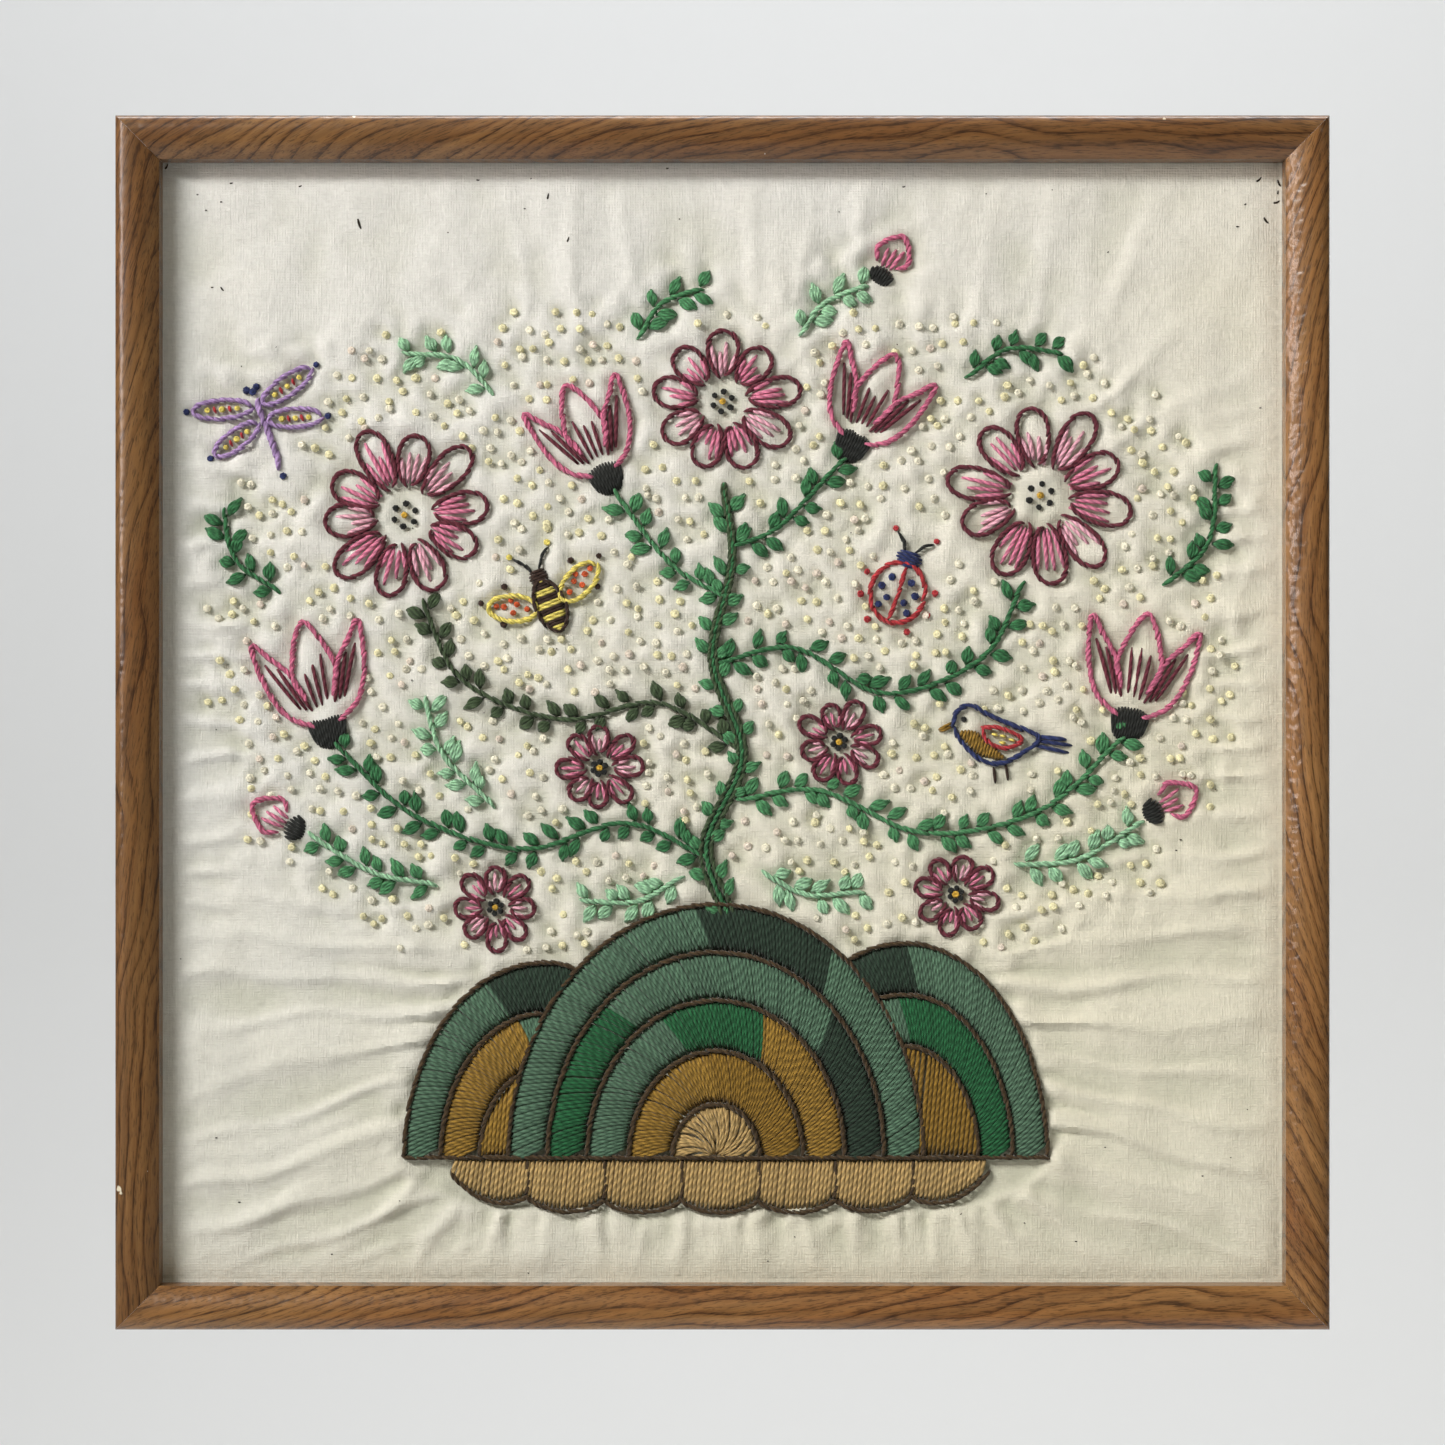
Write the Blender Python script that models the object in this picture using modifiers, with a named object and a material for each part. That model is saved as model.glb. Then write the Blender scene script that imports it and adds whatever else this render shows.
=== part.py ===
"""Crewel embroidery panel in a mitred oak frame, hung upright.

The picture faces -Y, +X is to its right and +Z is up. The origin is on the flat back of the top rail, in the
middle of its length, where a wall fixing holds the frame. Units are metres.
"""
import math

import bmesh
import bpy

MM = 0.001
GAP = 0.3 * MM

# The board and cloth are a standard 14 inch square, and the rails cover a narrow border of them
BOARD_SIDE = 355.6 * MM
BOARD_THICK = 3.0 * MM
REBATE_COVER = 5.6 * MM
SIGHT_SIDE = BOARD_SIDE + 2 * GAP - 2 * REBATE_COVER

# Moulding section, measured in from the outer side and forward from the back
RAIL_FACE = 13.3 * MM
RAIL_DEPTH = 18.0 * MM
LIP_BACK = 7.4 * MM
SHOULDER_WIDE = 4.6 * MM
SHOULDER_DROP = 3.4 * MM
INNER_DROP = 3.6 * MM
INNER_SWEEP = math.radians(46)
ARC_STEPS = 9
BACK_CHAMFER = 0.6 * MM
OUTER_SIDE = SIGHT_SIDE + 2 * RAIL_FACE

# Cloth sheet, whose front is pressed flat behind the lip and puckers inside it
CLOTH_THICK = 1.2 * MM
CLOTH_CELLS = 52
CLOTH_FRONT = LIP_BACK - GAP
FLAT_BORDER = 1.5 * MM
FADE_WIDE = 9.0 * MM
DEEPEST_TROUGH = 1.1 * MM
HIGHEST_RIDGE = 1.3 * MM
ROW_CROWDING = 0.16

# The frame's centre lies under the origin, which is halfway across the flat back of the top rail
BACK_STRIP = RAIL_FACE - REBATE_COVER
CENTRE_Z = BACK_STRIP / 2 - OUTER_SIDE / 2

# Main folds of the cloth: each runs from (x0, z0) to (x1, z1), in mm from the picture's centre, with a
# height in mm (a ridge stands forward, a trough is negative) and a half width in mm
FOLD_COLUMNS = ("x0", "z0", "x1", "z1", "height", "half_width")
FOLDS = (
    (-94, -72, -176, -70, 1.0, 6.0),
    (-96, -84, -176, -88, -1.0, 6.0),
    (-98, -97, -176, -107, 1.1, 6.5),
    (-96, -112, -176, -126, -0.9, 6.0),
    (-90, -126, -176, -146, 0.9, 6.5),
    (-70, -146, -150, -172, -0.8, 6.0),
    (96, -46, 176, -34, -0.8, 6.0),
    (98, -60, 176, -52, 1.2, 6.0),
    (100, -75, 176, -72, -1.1, 6.0),
    (100, -90, 176, -92, 1.3, 6.0),
    (98, -106, 176, -113, -1.1, 6.0),
    (94, -122, 176, -134, 1.0, 6.5),
    (78, -140, 160, -166, -0.8, 6.0),
    (-46, -146, -54, -176, 0.9, 5.5),
    (-22, -148, -24, -176, -0.8, 5.5),
    (4, -148, 6, -176, 0.9, 5.5),
    (32, -148, 40, -176, -0.8, 5.5),
    (-52, 176, -40, 128, 0.7, 7.0),
    (-16, 176, -12, 136, -0.7, 7.0),
    (24, 176, 20, 130, 0.8, 7.0),
    (64, 176, 52, 134, -0.6, 7.0),
    (172, 172, 108, 104, 0.8, 7.5),
    (150, 176, 92, 120, -0.6, 6.5),
    (-172, -30, -104, -42, 0.7, 7.0),
)


def make_collection(name):
    """Return a new collection linked into the scene."""
    collection = bpy.data.collections.new(name)
    bpy.context.scene.collection.children.link(collection)
    return collection


def make_material(name, colour, roughness):
    """Return a Principled material of one colour."""
    material = bpy.data.materials.new(name)
    material.use_nodes = True
    shader = material.node_tree.nodes["Principled BSDF"]
    shader.inputs["Base Color"].default_value = (*colour, 1.0)
    shader.inputs["Roughness"].default_value = roughness
    shader.inputs["Metallic"].default_value = 0.0
    return material


def add_object(name, mesh, collection, material):
    """Link a named object with its own material."""
    mesh.materials.clear()
    mesh.materials.append(material)
    piece = bpy.data.objects.new(name, mesh)
    collection.objects.link(piece)
    return piece


def ellipse_arc(centre, radii, start, end, steps):
    """Points on an ellipse from one angle to another, both ends included."""
    points = []
    for step in range(steps + 1):
        angle = start + (end - start) * step / steps
        across = centre[0] + radii[0] * math.cos(angle)
        forward = centre[1] + radii[1] * math.sin(angle)
        points.append((across, forward))
    return points


def moulding_section():
    """Closed outline of the rail: flat back and sides, a rounded face that falls to the inner arris,
    a straight inner lip and the rebate behind it."""
    crown = SHOULDER_WIDE
    shoulder = ellipse_arc((crown, RAIL_DEPTH - SHOULDER_DROP), (SHOULDER_WIDE, SHOULDER_DROP),
                           math.pi, math.pi / 2, ARC_STEPS)
    reach = (RAIL_FACE - crown) / math.sin(INNER_SWEEP)
    fall = INNER_DROP / (1 - math.cos(INNER_SWEEP))
    slope = ellipse_arc((crown, RAIL_DEPTH - fall), (reach, fall),
                        math.pi / 2, math.pi / 2 - INNER_SWEEP, ARC_STEPS)
    outline = [(0.0, BACK_CHAMFER)]
    outline += shoulder
    outline += slope[1:]
    outline += [(RAIL_FACE, LIP_BACK), (BACK_STRIP, LIP_BACK), (BACK_STRIP, 0.0), (BACK_CHAMFER, 0.0)]
    return outline


def rail_blank():
    """The moulding extruded along X to the frame's outer side, as the top rail, before its mitres."""
    curve = bpy.data.curves.new("moulding_section", "CURVE")
    curve.dimensions = "2D"
    curve.fill_mode = "BOTH"
    curve.extrude = OUTER_SIDE / 2
    outline = moulding_section()
    spline = curve.splines.new("POLY")
    spline.points.add(len(outline) - 1)
    for point, (across, forward) in zip(spline.points, outline):
        point.co = (across, forward, 0.0, 1.0)
    spline.use_cyclic_u = True
    blank = bpy.data.objects.new("moulding_blank", curve)
    bpy.context.scene.collection.objects.link(blank)
    bpy.context.view_layer.update()
    evaluated = blank.evaluated_get(bpy.context.evaluated_depsgraph_get())
    mesh = bpy.data.meshes.new_from_object(evaluated)
    bpy.data.objects.remove(blank)
    work = bmesh.new()
    work.from_mesh(mesh)
    bmesh.ops.remove_doubles(work, verts=work.verts, dist=0.001 * MM)
    for vertex in work.verts:
        across, forward, along = vertex.co
        vertex.co = (along, -forward, OUTER_SIDE / 2 - across)
    bmesh.ops.recalc_face_normals(work, faces=work.faces)
    work.to_mesh(mesh)
    work.free()
    return mesh


def mitre_cutter(name, side, collection):
    """A block whose inner face lies half a gap outside the mitre plane of the top rail, on one side."""
    reach = 3 * RAIL_FACE
    mesh = bpy.data.meshes.new(name)
    work = bmesh.new()
    bmesh.ops.create_cube(work, size=1.0)
    bmesh.ops.scale(work, vec=(reach, 3 * RAIL_DEPTH, 4 * reach), verts=work.verts)
    bmesh.ops.translate(work, vec=(reach / 2 - GAP / 2, 0.0, 0.0), verts=work.verts)
    work.to_mesh(mesh)
    work.free()
    cutter = bpy.data.objects.new(name, mesh)
    collection.objects.link(cutter)
    inner_corner = SIGHT_SIDE / 2
    cutter.location = (side * inner_corner, -RAIL_DEPTH / 2, inner_corner)
    cutter.rotation_euler = (0.0, math.radians(45) if side > 0 else math.radians(135), 0.0)
    cutter.hide_render = True
    cutter.display_type = "WIRE"
    return cutter


def build_rails(hub, collection, cutters, material):
    """Four mitred rails, one shape turned in quarter turns about the frame's centre."""
    blank = rail_blank()
    blades = [mitre_cutter("mitre_right", 1, cutters), mitre_cutter("mitre_left", -1, cutters)]
    rail = add_object("rail_top", blank, collection, material)
    for blade in blades:
        cut = rail.modifiers.new(blade.name, "BOOLEAN")
        cut.operation = "DIFFERENCE"
        cut.solver = "EXACT"
        cut.object = blade
    bpy.context.view_layer.update()
    evaluated = rail.evaluated_get(bpy.context.evaluated_depsgraph_get())
    mitred = bpy.data.meshes.new_from_object(evaluated)
    bpy.data.objects.remove(rail)
    names = ("rail_top", "rail_right", "rail_bottom", "rail_left")
    for quarter, name in enumerate(names):
        rail = add_object(name, mitred.copy(), collection, material)
        rail.parent = hub
        rail.rotation_euler = (0.0, math.radians(90 * quarter), 0.0)


def fold_height(x, z):
    """Height of the cloth's folds at a point, in metres: the sum of soft ridges and troughs, each a bell
    shape across its line that swells and fades along it, rounded off at the highest and lowest."""
    total = 0.0
    for row in FOLDS:
        fold = dict(zip(FOLD_COLUMNS, row))
        along_x = (fold["x1"] - fold["x0"]) * MM
        along_z = (fold["z1"] - fold["z0"]) * MM
        length = math.hypot(along_x, along_z)
        from_x = x - fold["x0"] * MM
        from_z = z - fold["z0"] * MM
        place = (from_x * along_x + from_z * along_z) / length ** 2
        beside = (from_x * along_z - from_z * along_x) / length
        beyond = max(0.0, abs(place - 0.5) - 0.5) * length
        half_width = fold["half_width"] * MM
        bell = math.exp(-(beside ** 2 + beyond ** 2) / (2 * half_width ** 2))
        swell = 0.55 + 0.45 * math.sin(math.pi * min(1.0, max(0.0, place)))
        total += fold["height"] * MM * bell * swell
    limit = HIGHEST_RIDGE if total > 0 else DEEPEST_TROUGH
    return limit * math.tanh(total / limit)


def inside_fade(x, z):
    """0 where the lip presses the cloth flat, rising smoothly to 1 inside the sight edge."""
    inner = SIGHT_SIDE / 2 - FLAT_BORDER - max(abs(x), abs(z))
    rise = min(1.0, max(0.0, inner / FADE_WIDE))
    return rise * rise * (3 - 2 * rise)


def build_cloth(hub, collection, material):
    """One sheet: a grid whose rows crowd towards the lower half, folded forward and given its thickness."""
    mesh = bpy.data.meshes.new("embroidered_cloth")
    work = bmesh.new()
    bmesh.ops.create_grid(work, x_segments=CLOTH_CELLS, y_segments=CLOTH_CELLS, size=BOARD_SIDE / 2)
    half = BOARD_SIDE / 2
    for vertex in work.verts:
        x = vertex.co.x
        upward = vertex.co.y / half
        z = half * (upward - ROW_CROWDING * (1 - upward ** 2))
        height = fold_height(x, z) * inside_fade(x, z)
        vertex.co = (x, -CLOTH_FRONT - height, z)
    bmesh.ops.recalc_face_normals(work, faces=work.faces)
    facing = sum(face.normal.y for face in work.faces)
    if facing > 0:
        bmesh.ops.reverse_faces(work, faces=work.faces)
    work.to_mesh(mesh)
    work.free()
    cloth = add_object("embroidered_cloth", mesh, collection, material)
    cloth.parent = hub
    wall = cloth.modifiers.new("thickness", "SOLIDIFY")
    wall.thickness = CLOTH_THICK
    wall.offset = -1.0
    wall.use_even_offset = False


def build_board(hub, collection, material):
    """Flat backing board that fills the rebate behind the cloth, just clear of its deepest trough."""
    front = CLOTH_FRONT - CLOTH_THICK - DEEPEST_TROUGH - GAP
    mesh = bpy.data.meshes.new("backing_board")
    work = bmesh.new()
    bmesh.ops.create_cube(work, size=1.0)
    bmesh.ops.scale(work, vec=(BOARD_SIDE, BOARD_THICK, BOARD_SIDE), verts=work.verts)
    work.to_mesh(mesh)
    work.free()
    board = add_object("backing_board", mesh, collection, material)
    board.parent = hub
    board.location = (0.0, -front + BOARD_THICK / 2, 0.0)


def build():
    """Clear the scene and build the framed panel."""
    for leftover in list(bpy.data.objects):
        bpy.data.objects.remove(leftover)
    panel = make_collection("crewel_panel")
    cutters = make_collection("cutters")
    hub = bpy.data.objects.new("frame_centre", None)
    panel.objects.link(hub)
    hub.location = (0.0, 0.0, CENTRE_Z)
    oak = make_material("oiled_oak", (0.26, 0.13, 0.06), 0.45)
    cotton = make_material("cream_cotton", (0.70, 0.68, 0.60), 0.9)
    hardboard = make_material("brown_hardboard", (0.30, 0.20, 0.12), 0.8)
    build_rails(hub, panel, cutters, oak)
    build_cloth(hub, panel, cotton)
    build_board(hub, panel, hardboard)


build()
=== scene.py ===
import functools
import math

import bpy
import numpy as np
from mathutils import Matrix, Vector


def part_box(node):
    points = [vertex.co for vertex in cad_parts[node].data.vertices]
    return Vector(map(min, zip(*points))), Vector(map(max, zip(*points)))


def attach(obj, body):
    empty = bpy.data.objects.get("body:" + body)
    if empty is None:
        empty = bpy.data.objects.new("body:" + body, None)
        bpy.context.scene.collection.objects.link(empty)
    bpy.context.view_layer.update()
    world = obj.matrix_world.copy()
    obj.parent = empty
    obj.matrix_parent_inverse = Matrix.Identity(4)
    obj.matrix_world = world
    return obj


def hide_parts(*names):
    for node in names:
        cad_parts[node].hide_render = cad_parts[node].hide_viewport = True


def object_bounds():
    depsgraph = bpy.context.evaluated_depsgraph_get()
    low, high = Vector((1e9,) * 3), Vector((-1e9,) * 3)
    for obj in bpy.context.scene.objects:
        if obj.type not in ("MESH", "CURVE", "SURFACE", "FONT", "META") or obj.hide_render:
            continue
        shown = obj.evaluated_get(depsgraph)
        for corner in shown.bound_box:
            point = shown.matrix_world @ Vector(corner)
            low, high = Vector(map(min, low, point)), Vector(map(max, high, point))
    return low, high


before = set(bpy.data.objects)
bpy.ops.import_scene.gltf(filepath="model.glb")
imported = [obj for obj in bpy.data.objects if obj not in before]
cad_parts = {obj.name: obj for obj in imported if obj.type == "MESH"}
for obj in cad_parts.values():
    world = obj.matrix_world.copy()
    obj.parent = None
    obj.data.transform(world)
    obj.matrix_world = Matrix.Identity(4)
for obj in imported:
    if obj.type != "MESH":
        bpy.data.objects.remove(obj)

cad_box = [list(corner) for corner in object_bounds()]


# Backing board: a 3 mm sheet of brown hardboard cut to the rebate, which the cloth is stretched over. Its
# pressed fibres leave a matt, faintly mottled brown with darker flecks.

def linear(hex_colour):
    """sRGB hex to linear: a channel c is c / 12.92 up to 0.04045, else ((c + 0.055) / 1.055) ^ 2.4."""
    channels = [int(hex_colour[i:i + 2], 16) / 255 for i in (1, 3, 5)]
    return (*[c / 12.92 if c <= 0.04045 else ((c + 0.055) / 1.055) ** 2.4 for c in channels], 1.0)


def wire(node, sockets):
    """Give a node's inputs their values, and link those that are another node's output."""
    for key, value in sockets.items():
        if isinstance(value, bpy.types.NodeSocket):
            node.id_data.links.new(value, node.inputs[key])
        else:
            node.inputs[key].default_value = value


def add_node(tree, kind, *values, out=0, **named):
    """Add a node and return one of its outputs. Values fill its inputs in order; names with a capital are
    inputs too, and the others are the node's own settings."""
    node = tree.nodes.new("ShaderNode" + kind)
    sockets = dict(enumerate(values))
    for key, value in named.items():
        if key[0].isupper():
            sockets[key] = value
        else:
            setattr(node, key, value)
    wire(node, sockets)
    return node.outputs[out]


def new_material(name):
    """A material, its Principled shader, and the function that adds nodes to it."""
    material = bpy.data.materials.new(name)
    material.use_nodes = True
    tree = material.node_tree
    return material, tree.nodes["Principled BSDF"], functools.partial(add_node, tree)


def pressed_hardboard():
    """Brown hardboard: fine flecks of 0.8 mm fibre over slow mottling 40 mm across."""
    material, shader, add = new_material("pressed_hardboard")
    place = add("TexCoord", out="Object")
    mottle = add("TexNoise", Vector=place, Scale=25.0, Detail=4.0)
    fibre = add("TexNoise", Vector=place, Scale=1200.0, Detail=2.0)
    slow = add("ValToRGB", mottle)
    for stop, position, colour in zip(slow.node.color_ramp.elements, (0.35, 0.68), ("#654C35", "#755A3F")):
        stop.position, stop.color = position, linear(colour)
    tint = add("VectorMath", slow, Scale=add("MapRange", fibre, 0.3, 0.7, 0.62, 1.15), operation="SCALE")
    bump = add("Bump", Height=fibre, Strength=0.3, Distance=0.0002)
    wire(shader, {"Base Color": tint, "Normal": bump, "Roughness": 0.82})
    return material


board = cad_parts["backing_board"]
board.data.materials.clear()
board.data.materials.append(pressed_hardboard())


# Ground cloth as it is stretched: one 14 inch square of cream cotton, flat behind the rails' lip. The dense
# stitching at the foot gathers it into near-level creases at both sides and upright ones below and above.
# Sizes here and in the stitching are in mm from the picture's centre, x to the right and z up.

MM = 0.001
cloth_low, cloth_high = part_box("embroidered_cloth")
CLOTH_SIDE = (cloth_high[0] - cloth_low[0]) / MM
CENTRE_Z = (cloth_high[2] + cloth_low[2]) / 2
SIGHT_HALF = -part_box("rail_left")[1][0] / MM
CLOTH_FRONT = 7.1
FLAT_BORDER = 1.5
FADE_WIDE = 9.0
HIGHEST_RIDGE = 1.3
DEEPEST_TROUGH = 1.1
HIGHEST_CREASE = 3.0
DEEPEST_CREASE = 1.55

# The filled mounds that gather the cloth: x of the middle, half width and height over their common foot, with
# turf as deep as this below it
FOOT = -134.0
TURF_DEEP = 17.0
MOUND_SHAPES = {"left": (-55, 43, 60), "right": (56, 44, 66), "front": (-2, 64, 78)}

# Main folds, each a line from (x0, z0) to (x1, z1): x0, z0, x1, z1, height (a trough is negative), half width
FOLDS = (
    (-94, -72, -176, -70, 1.0, 6.0),
    (-96, -84, -176, -88, -1.0, 6.0),
    (-98, -97, -176, -107, 1.1, 6.5),
    (-96, -112, -176, -126, -0.9, 6.0),
    (-90, -126, -176, -146, 0.9, 6.5),
    (-70, -146, -150, -172, -0.8, 6.0),
    (96, -46, 176, -34, -0.8, 6.0),
    (98, -60, 176, -52, 1.2, 6.0),
    (100, -75, 176, -72, -1.1, 6.0),
    (100, -90, 176, -92, 1.3, 6.0),
    (98, -106, 176, -113, -1.1, 6.0),
    (94, -122, 176, -134, 1.0, 6.5),
    (78, -140, 160, -166, -0.8, 6.0),
    (-46, -146, -54, -176, 0.9, 5.5),
    (-22, -148, -24, -176, -0.8, 5.5),
    (4, -148, 6, -176, 0.9, 5.5),
    (32, -148, 40, -176, -0.8, 5.5),
    (-52, 176, -40, 128, 0.7, 7.0),
    (-16, 176, -12, 136, -0.7, 7.0),
    (24, 176, 20, 130, 0.8, 7.0),
    (64, 176, 52, 134, -0.6, 7.0),
    (172, 172, 108, 104, 0.5, 7.5),
    (150, 176, 92, 120, -0.4, 6.5),
    (-172, -30, -104, -42, 0.7, 7.0),
)

# Finer creases fan out of a gathered edge: x, z of its middle, the way they run in degrees, half the edge's
# length, how far they reach, pitch, height, how much the fan opens, and 1 where they start from the mounds
FANS = (
    (84, -92, -2, 52, 20, 7.8, -2.9, 0.30, 1),
    (84, -90, -3, 58, 105, 10.4, 2.5, 0.26, 1),
    (-82, -100, 187, 46, 20, 8.2, -2.9, 0.34, 1),
    (-82, -98, 189, 54, 95, 10.0, 2.3, 0.36, 1),
    (0, -140, 270, 88, 12, 9.0, -2.4, 0.06, 1),
    (0, -140, 270, 80, 40, 13.0, 1.9, 0.10, 1),
    (-80, -132, 222, 30, 40, 11.0, 2.2, 0.60, 1),
    (84, -134, 318, 26, 36, 11.0, 1.9, 0.60, 1),
    (8, 122, 90, 86, 44, 17.0, 1.3, 0.20, 0),
    (112, 96, 44, 38, 62, 15.0, 1.2, 0.50, 0),
    (-118, 96, 132, 34, 40, 20.0, 0.5, 0.50, 0),
    (-152, 10, 178, 82, 34, 11.0, 2.4, 0.08, 0),
    (154, 2, 2, 84, 34, 10.5, 2.4, 0.08, 0),
)

# How sharp the creases' ridges are, and the mean that this leaves to take off
RIDGE_SHARP = 2.1
RIDGE_MEAN = 0.30

# Faint long waves all over: the way they travel in degrees, wavelength and height
WAVES = ((8, 31, 0.20), (-14, 22, 0.12), (84, 37, 0.20), (101, 26, 0.13), (38, 41, 0.20), (-47, 33, 0.15),
         (62, 17, 0.07), (-20, 14, 0.06))


def fold_height(x, z):
    """Sum of bells across each fold's line, swelling and fading along it, eased off at the highest and lowest
    by limit * tanh(total / limit)."""
    total = np.zeros_like(x)
    for x0, z0, x1, z1, height, half_width in FOLDS:
        run = math.hypot(x1 - x0, z1 - z0)
        place = ((x - x0) * (x1 - x0) + (z - z0) * (z1 - z0)) / run ** 2
        beside = ((x - x0) * (z1 - z0) - (z - z0) * (x1 - x0)) / run
        beyond = np.maximum(0.0, abs(place - 0.5) - 0.5) * run
        swell = 0.55 + 0.45 * np.sin(math.pi * np.clip(place, 0.0, 1.0))
        total += height * swell * np.exp(-(beside ** 2 + beyond ** 2) / (2 * half_width ** 2))
    limit = np.where(total > 0, HIGHEST_RIDGE, DEEPEST_TROUGH)
    return limit * np.tanh(total / limit)


def beyond_mounds(x, z):
    """Distance in mm outside the mounds and the turf: (part - 1) times the mean radius of each half oval."""
    gaps = []
    for middle, half, tall in MOUND_SHAPES.values():
        depth = np.where(z > FOOT, tall, TURF_DEEP)
        part = np.hypot((x - middle) / half, (z - FOOT) / depth)
        gaps.append((part - 1) * 0.5 * (half + depth))
    return np.minimum.reduce(gaps)


def fan_height(x, z):
    """Narrow ridges with wide troughs, exp(sharp (cos phase - 1)) less its mean, or the other way up where
    the height is negative. The phase counts pitches across an opening fan with a slow wobble, and the fan
    fades away from the gathered edge."""
    total = np.zeros_like(x)
    clear = beyond_mounds(x, z)
    for x0, z0, toward, half_edge, reach, pitch, height, opening, from_mounds in FANS:
        turn = math.radians(toward)
        out = (x - x0) * math.cos(turn) + (z - z0) * math.sin(turn)
        side = (z - z0) * math.cos(turn) - (x - x0) * math.sin(turn)
        ahead = np.maximum(out, 0.0)
        across = side / (1 + opening * ahead / half_edge)
        wobble = 1.7 * np.sin(ahead / 19 + across / 11) + 0.8 * np.sin(ahead / 7.3 - across / 5.1)
        phase = 2 * math.pi * (across + wobble) / pitch
        uneven = 0.75 + 0.35 * np.sin(across / 6.3 + pitch) * np.sin(ahead / 13 + height)
        away = np.maximum(clear, 0.0) if from_mounds else ahead
        edge = np.exp(-(across / half_edge) ** 4) * np.exp(-away / reach) / (1 + np.exp(-(out + 3) / 2.5))
        ridge = np.exp(RIDGE_SHARP * (np.cos(phase) - 1)) - RIDGE_MEAN
        total += height * uneven * edge * 1.15 * ridge
    for toward, length, height in WAVES:
        turn = math.radians(toward)
        travel = x * math.cos(turn) + z * math.sin(turn)
        swell = np.sin((z * math.cos(turn) - x * math.sin(turn)) / (2.3 * length) + length)
        total += height * np.sin(2 * math.pi * travel / length + 1.4 * swell) * (0.4 + 0.6 * abs(swell))
    calm = np.clip(clear / 4.0, 0.0, 1.0)
    return total * calm * calm * (3 - 2 * calm)


def inside_fade(x, z):
    """0 where the lip presses the cloth flat, rising smoothly to 1 inside the sight edge."""
    rise = np.clip((SIGHT_HALF - FLAT_BORDER - np.maximum(abs(x), abs(z))) / FADE_WIDE, 0.0, 1.0)
    return rise * rise * (3 - 2 * rise)


def cloth_top(x, z):
    """Height in mm of the stretched cloth's front over the lip's plane, before the stitches dimple it."""
    total = fold_height(x, z) + fan_height(x, z)
    limit = np.where(total > 0, HIGHEST_CREASE, DEEPEST_CREASE)
    return limit * np.tanh(total / limit) * inside_fade(x, z)


# Mounds at the foot: three hillocks filled in curved rows with slanted wool stitches about 1.3 mm wide, in
# greens and golds, and every row edged in brown stem stitch. The wool is two-ply crewel worsted: matt, with
# a soft nap and a twist that shows as short slanted strokes, in its bump and in painted highlight and painted
# shade on each ply.

rng = np.random.default_rng(14)
YARN_SINK = 0.8
PLY_TWIST = 2.8

# Wools by name, where the stitches pull the cloth down, and where the seeding keeps clear of them
wools = {}
pulls = []
covered = []


def dyed_wool(name, colour, groove_shade=0.60):
    """Crewel wool of one dye: each ply shows as cos(2 pi (2 V + U / twist length)) on the strand's map, with
    painted shade in the grooves down to the part given, a painted highlight on each crest, a fine nap, and
    each strand a little lighter or darker."""
    material, shader, add = new_material("crewel_wool_" + name)
    strand = add("SeparateXYZ", add("UVMap", uv_map="strand")).node.outputs
    turns = add("Math", strand["Y"], 2.0, operation="MULTIPLY")
    phase = add("Math", strand["X"], 1 / PLY_TWIST, turns, operation="MULTIPLY_ADD")
    ply = add("Math", add("Math", phase, 2 * math.pi, operation="MULTIPLY"), operation="COSINE")
    nap = add("TexNoise", Vector=add("TexCoord", out="Object"), Scale=1500.0, Detail=2.0)
    # Painted shade darkens the grooves between each ply to the part given, and a painted highlight lifts each
    # crest by 16 %.
    ply_highlight_and_shade = add("MapRange", ply, -1.0, 1.0, groove_shade, 1.16)
    fuzz = add("MapRange", nap, 0.3, 0.7, 0.84, 1.16)
    shade = add("Math", add("Math", ply_highlight_and_shade, fuzz, operation="MULTIPLY"),
                add("Attribute", attribute_name="tone", out="Fac"), operation="MULTIPLY")
    tint = add("VectorMath", linear(colour)[:3], Scale=shade, operation="SCALE")
    height = add("Math", nap, 0.6, ply, operation="MULTIPLY_ADD")
    bump = add("Bump", Height=height, Strength=0.7, Distance=0.00012)
    wire(shader, {"Base Color": tint, "Normal": bump, "Roughness": 0.85, "Specular IOR Level": 0.25,
                  "Sheen Weight": 0.18, "Sheen Roughness": 0.5})
    return material


def dye(**colours):
    """Spin a wool for each named colour."""
    for name, colour in colours.items():
        wools[name] = dyed_wool(name, colour)


def running_length(line):
    """Length of a line of points up to each of them."""
    return np.concatenate(([0.0], np.cumsum(np.hypot(*np.diff(line, axis=0).T))))


def line_through(points, spacing=0.5):
    """Curve through the points by the Catmull-Rom rule, at even steps: rows of x, z."""
    p = np.asarray(points, float)
    p = np.vstack((2 * p[0] - p[1], p, 2 * p[-1] - p[-2]))
    t = np.linspace(0, 1, 24, endpoint=False)[None, :, None]
    a, b, c, d = (q[:, None] for q in (p[:-3], p[1:-2], p[2:-1], p[3:]))
    curve = 0.5 * (2 * b + (c - a) * t + (2 * a - 5 * b + 4 * c - d) * t ** 2
                   + (3 * b - a - 3 * c + d) * t ** 3)
    curve = np.vstack((curve.reshape(-1, 2), p[-2]))
    run = running_length(curve)
    even = np.linspace(0, run[-1], max(3, int(run[-1] / spacing)))
    return np.stack([np.interp(even, run, curve[:, i]) for i in (0, 1)], axis=1)


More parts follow.
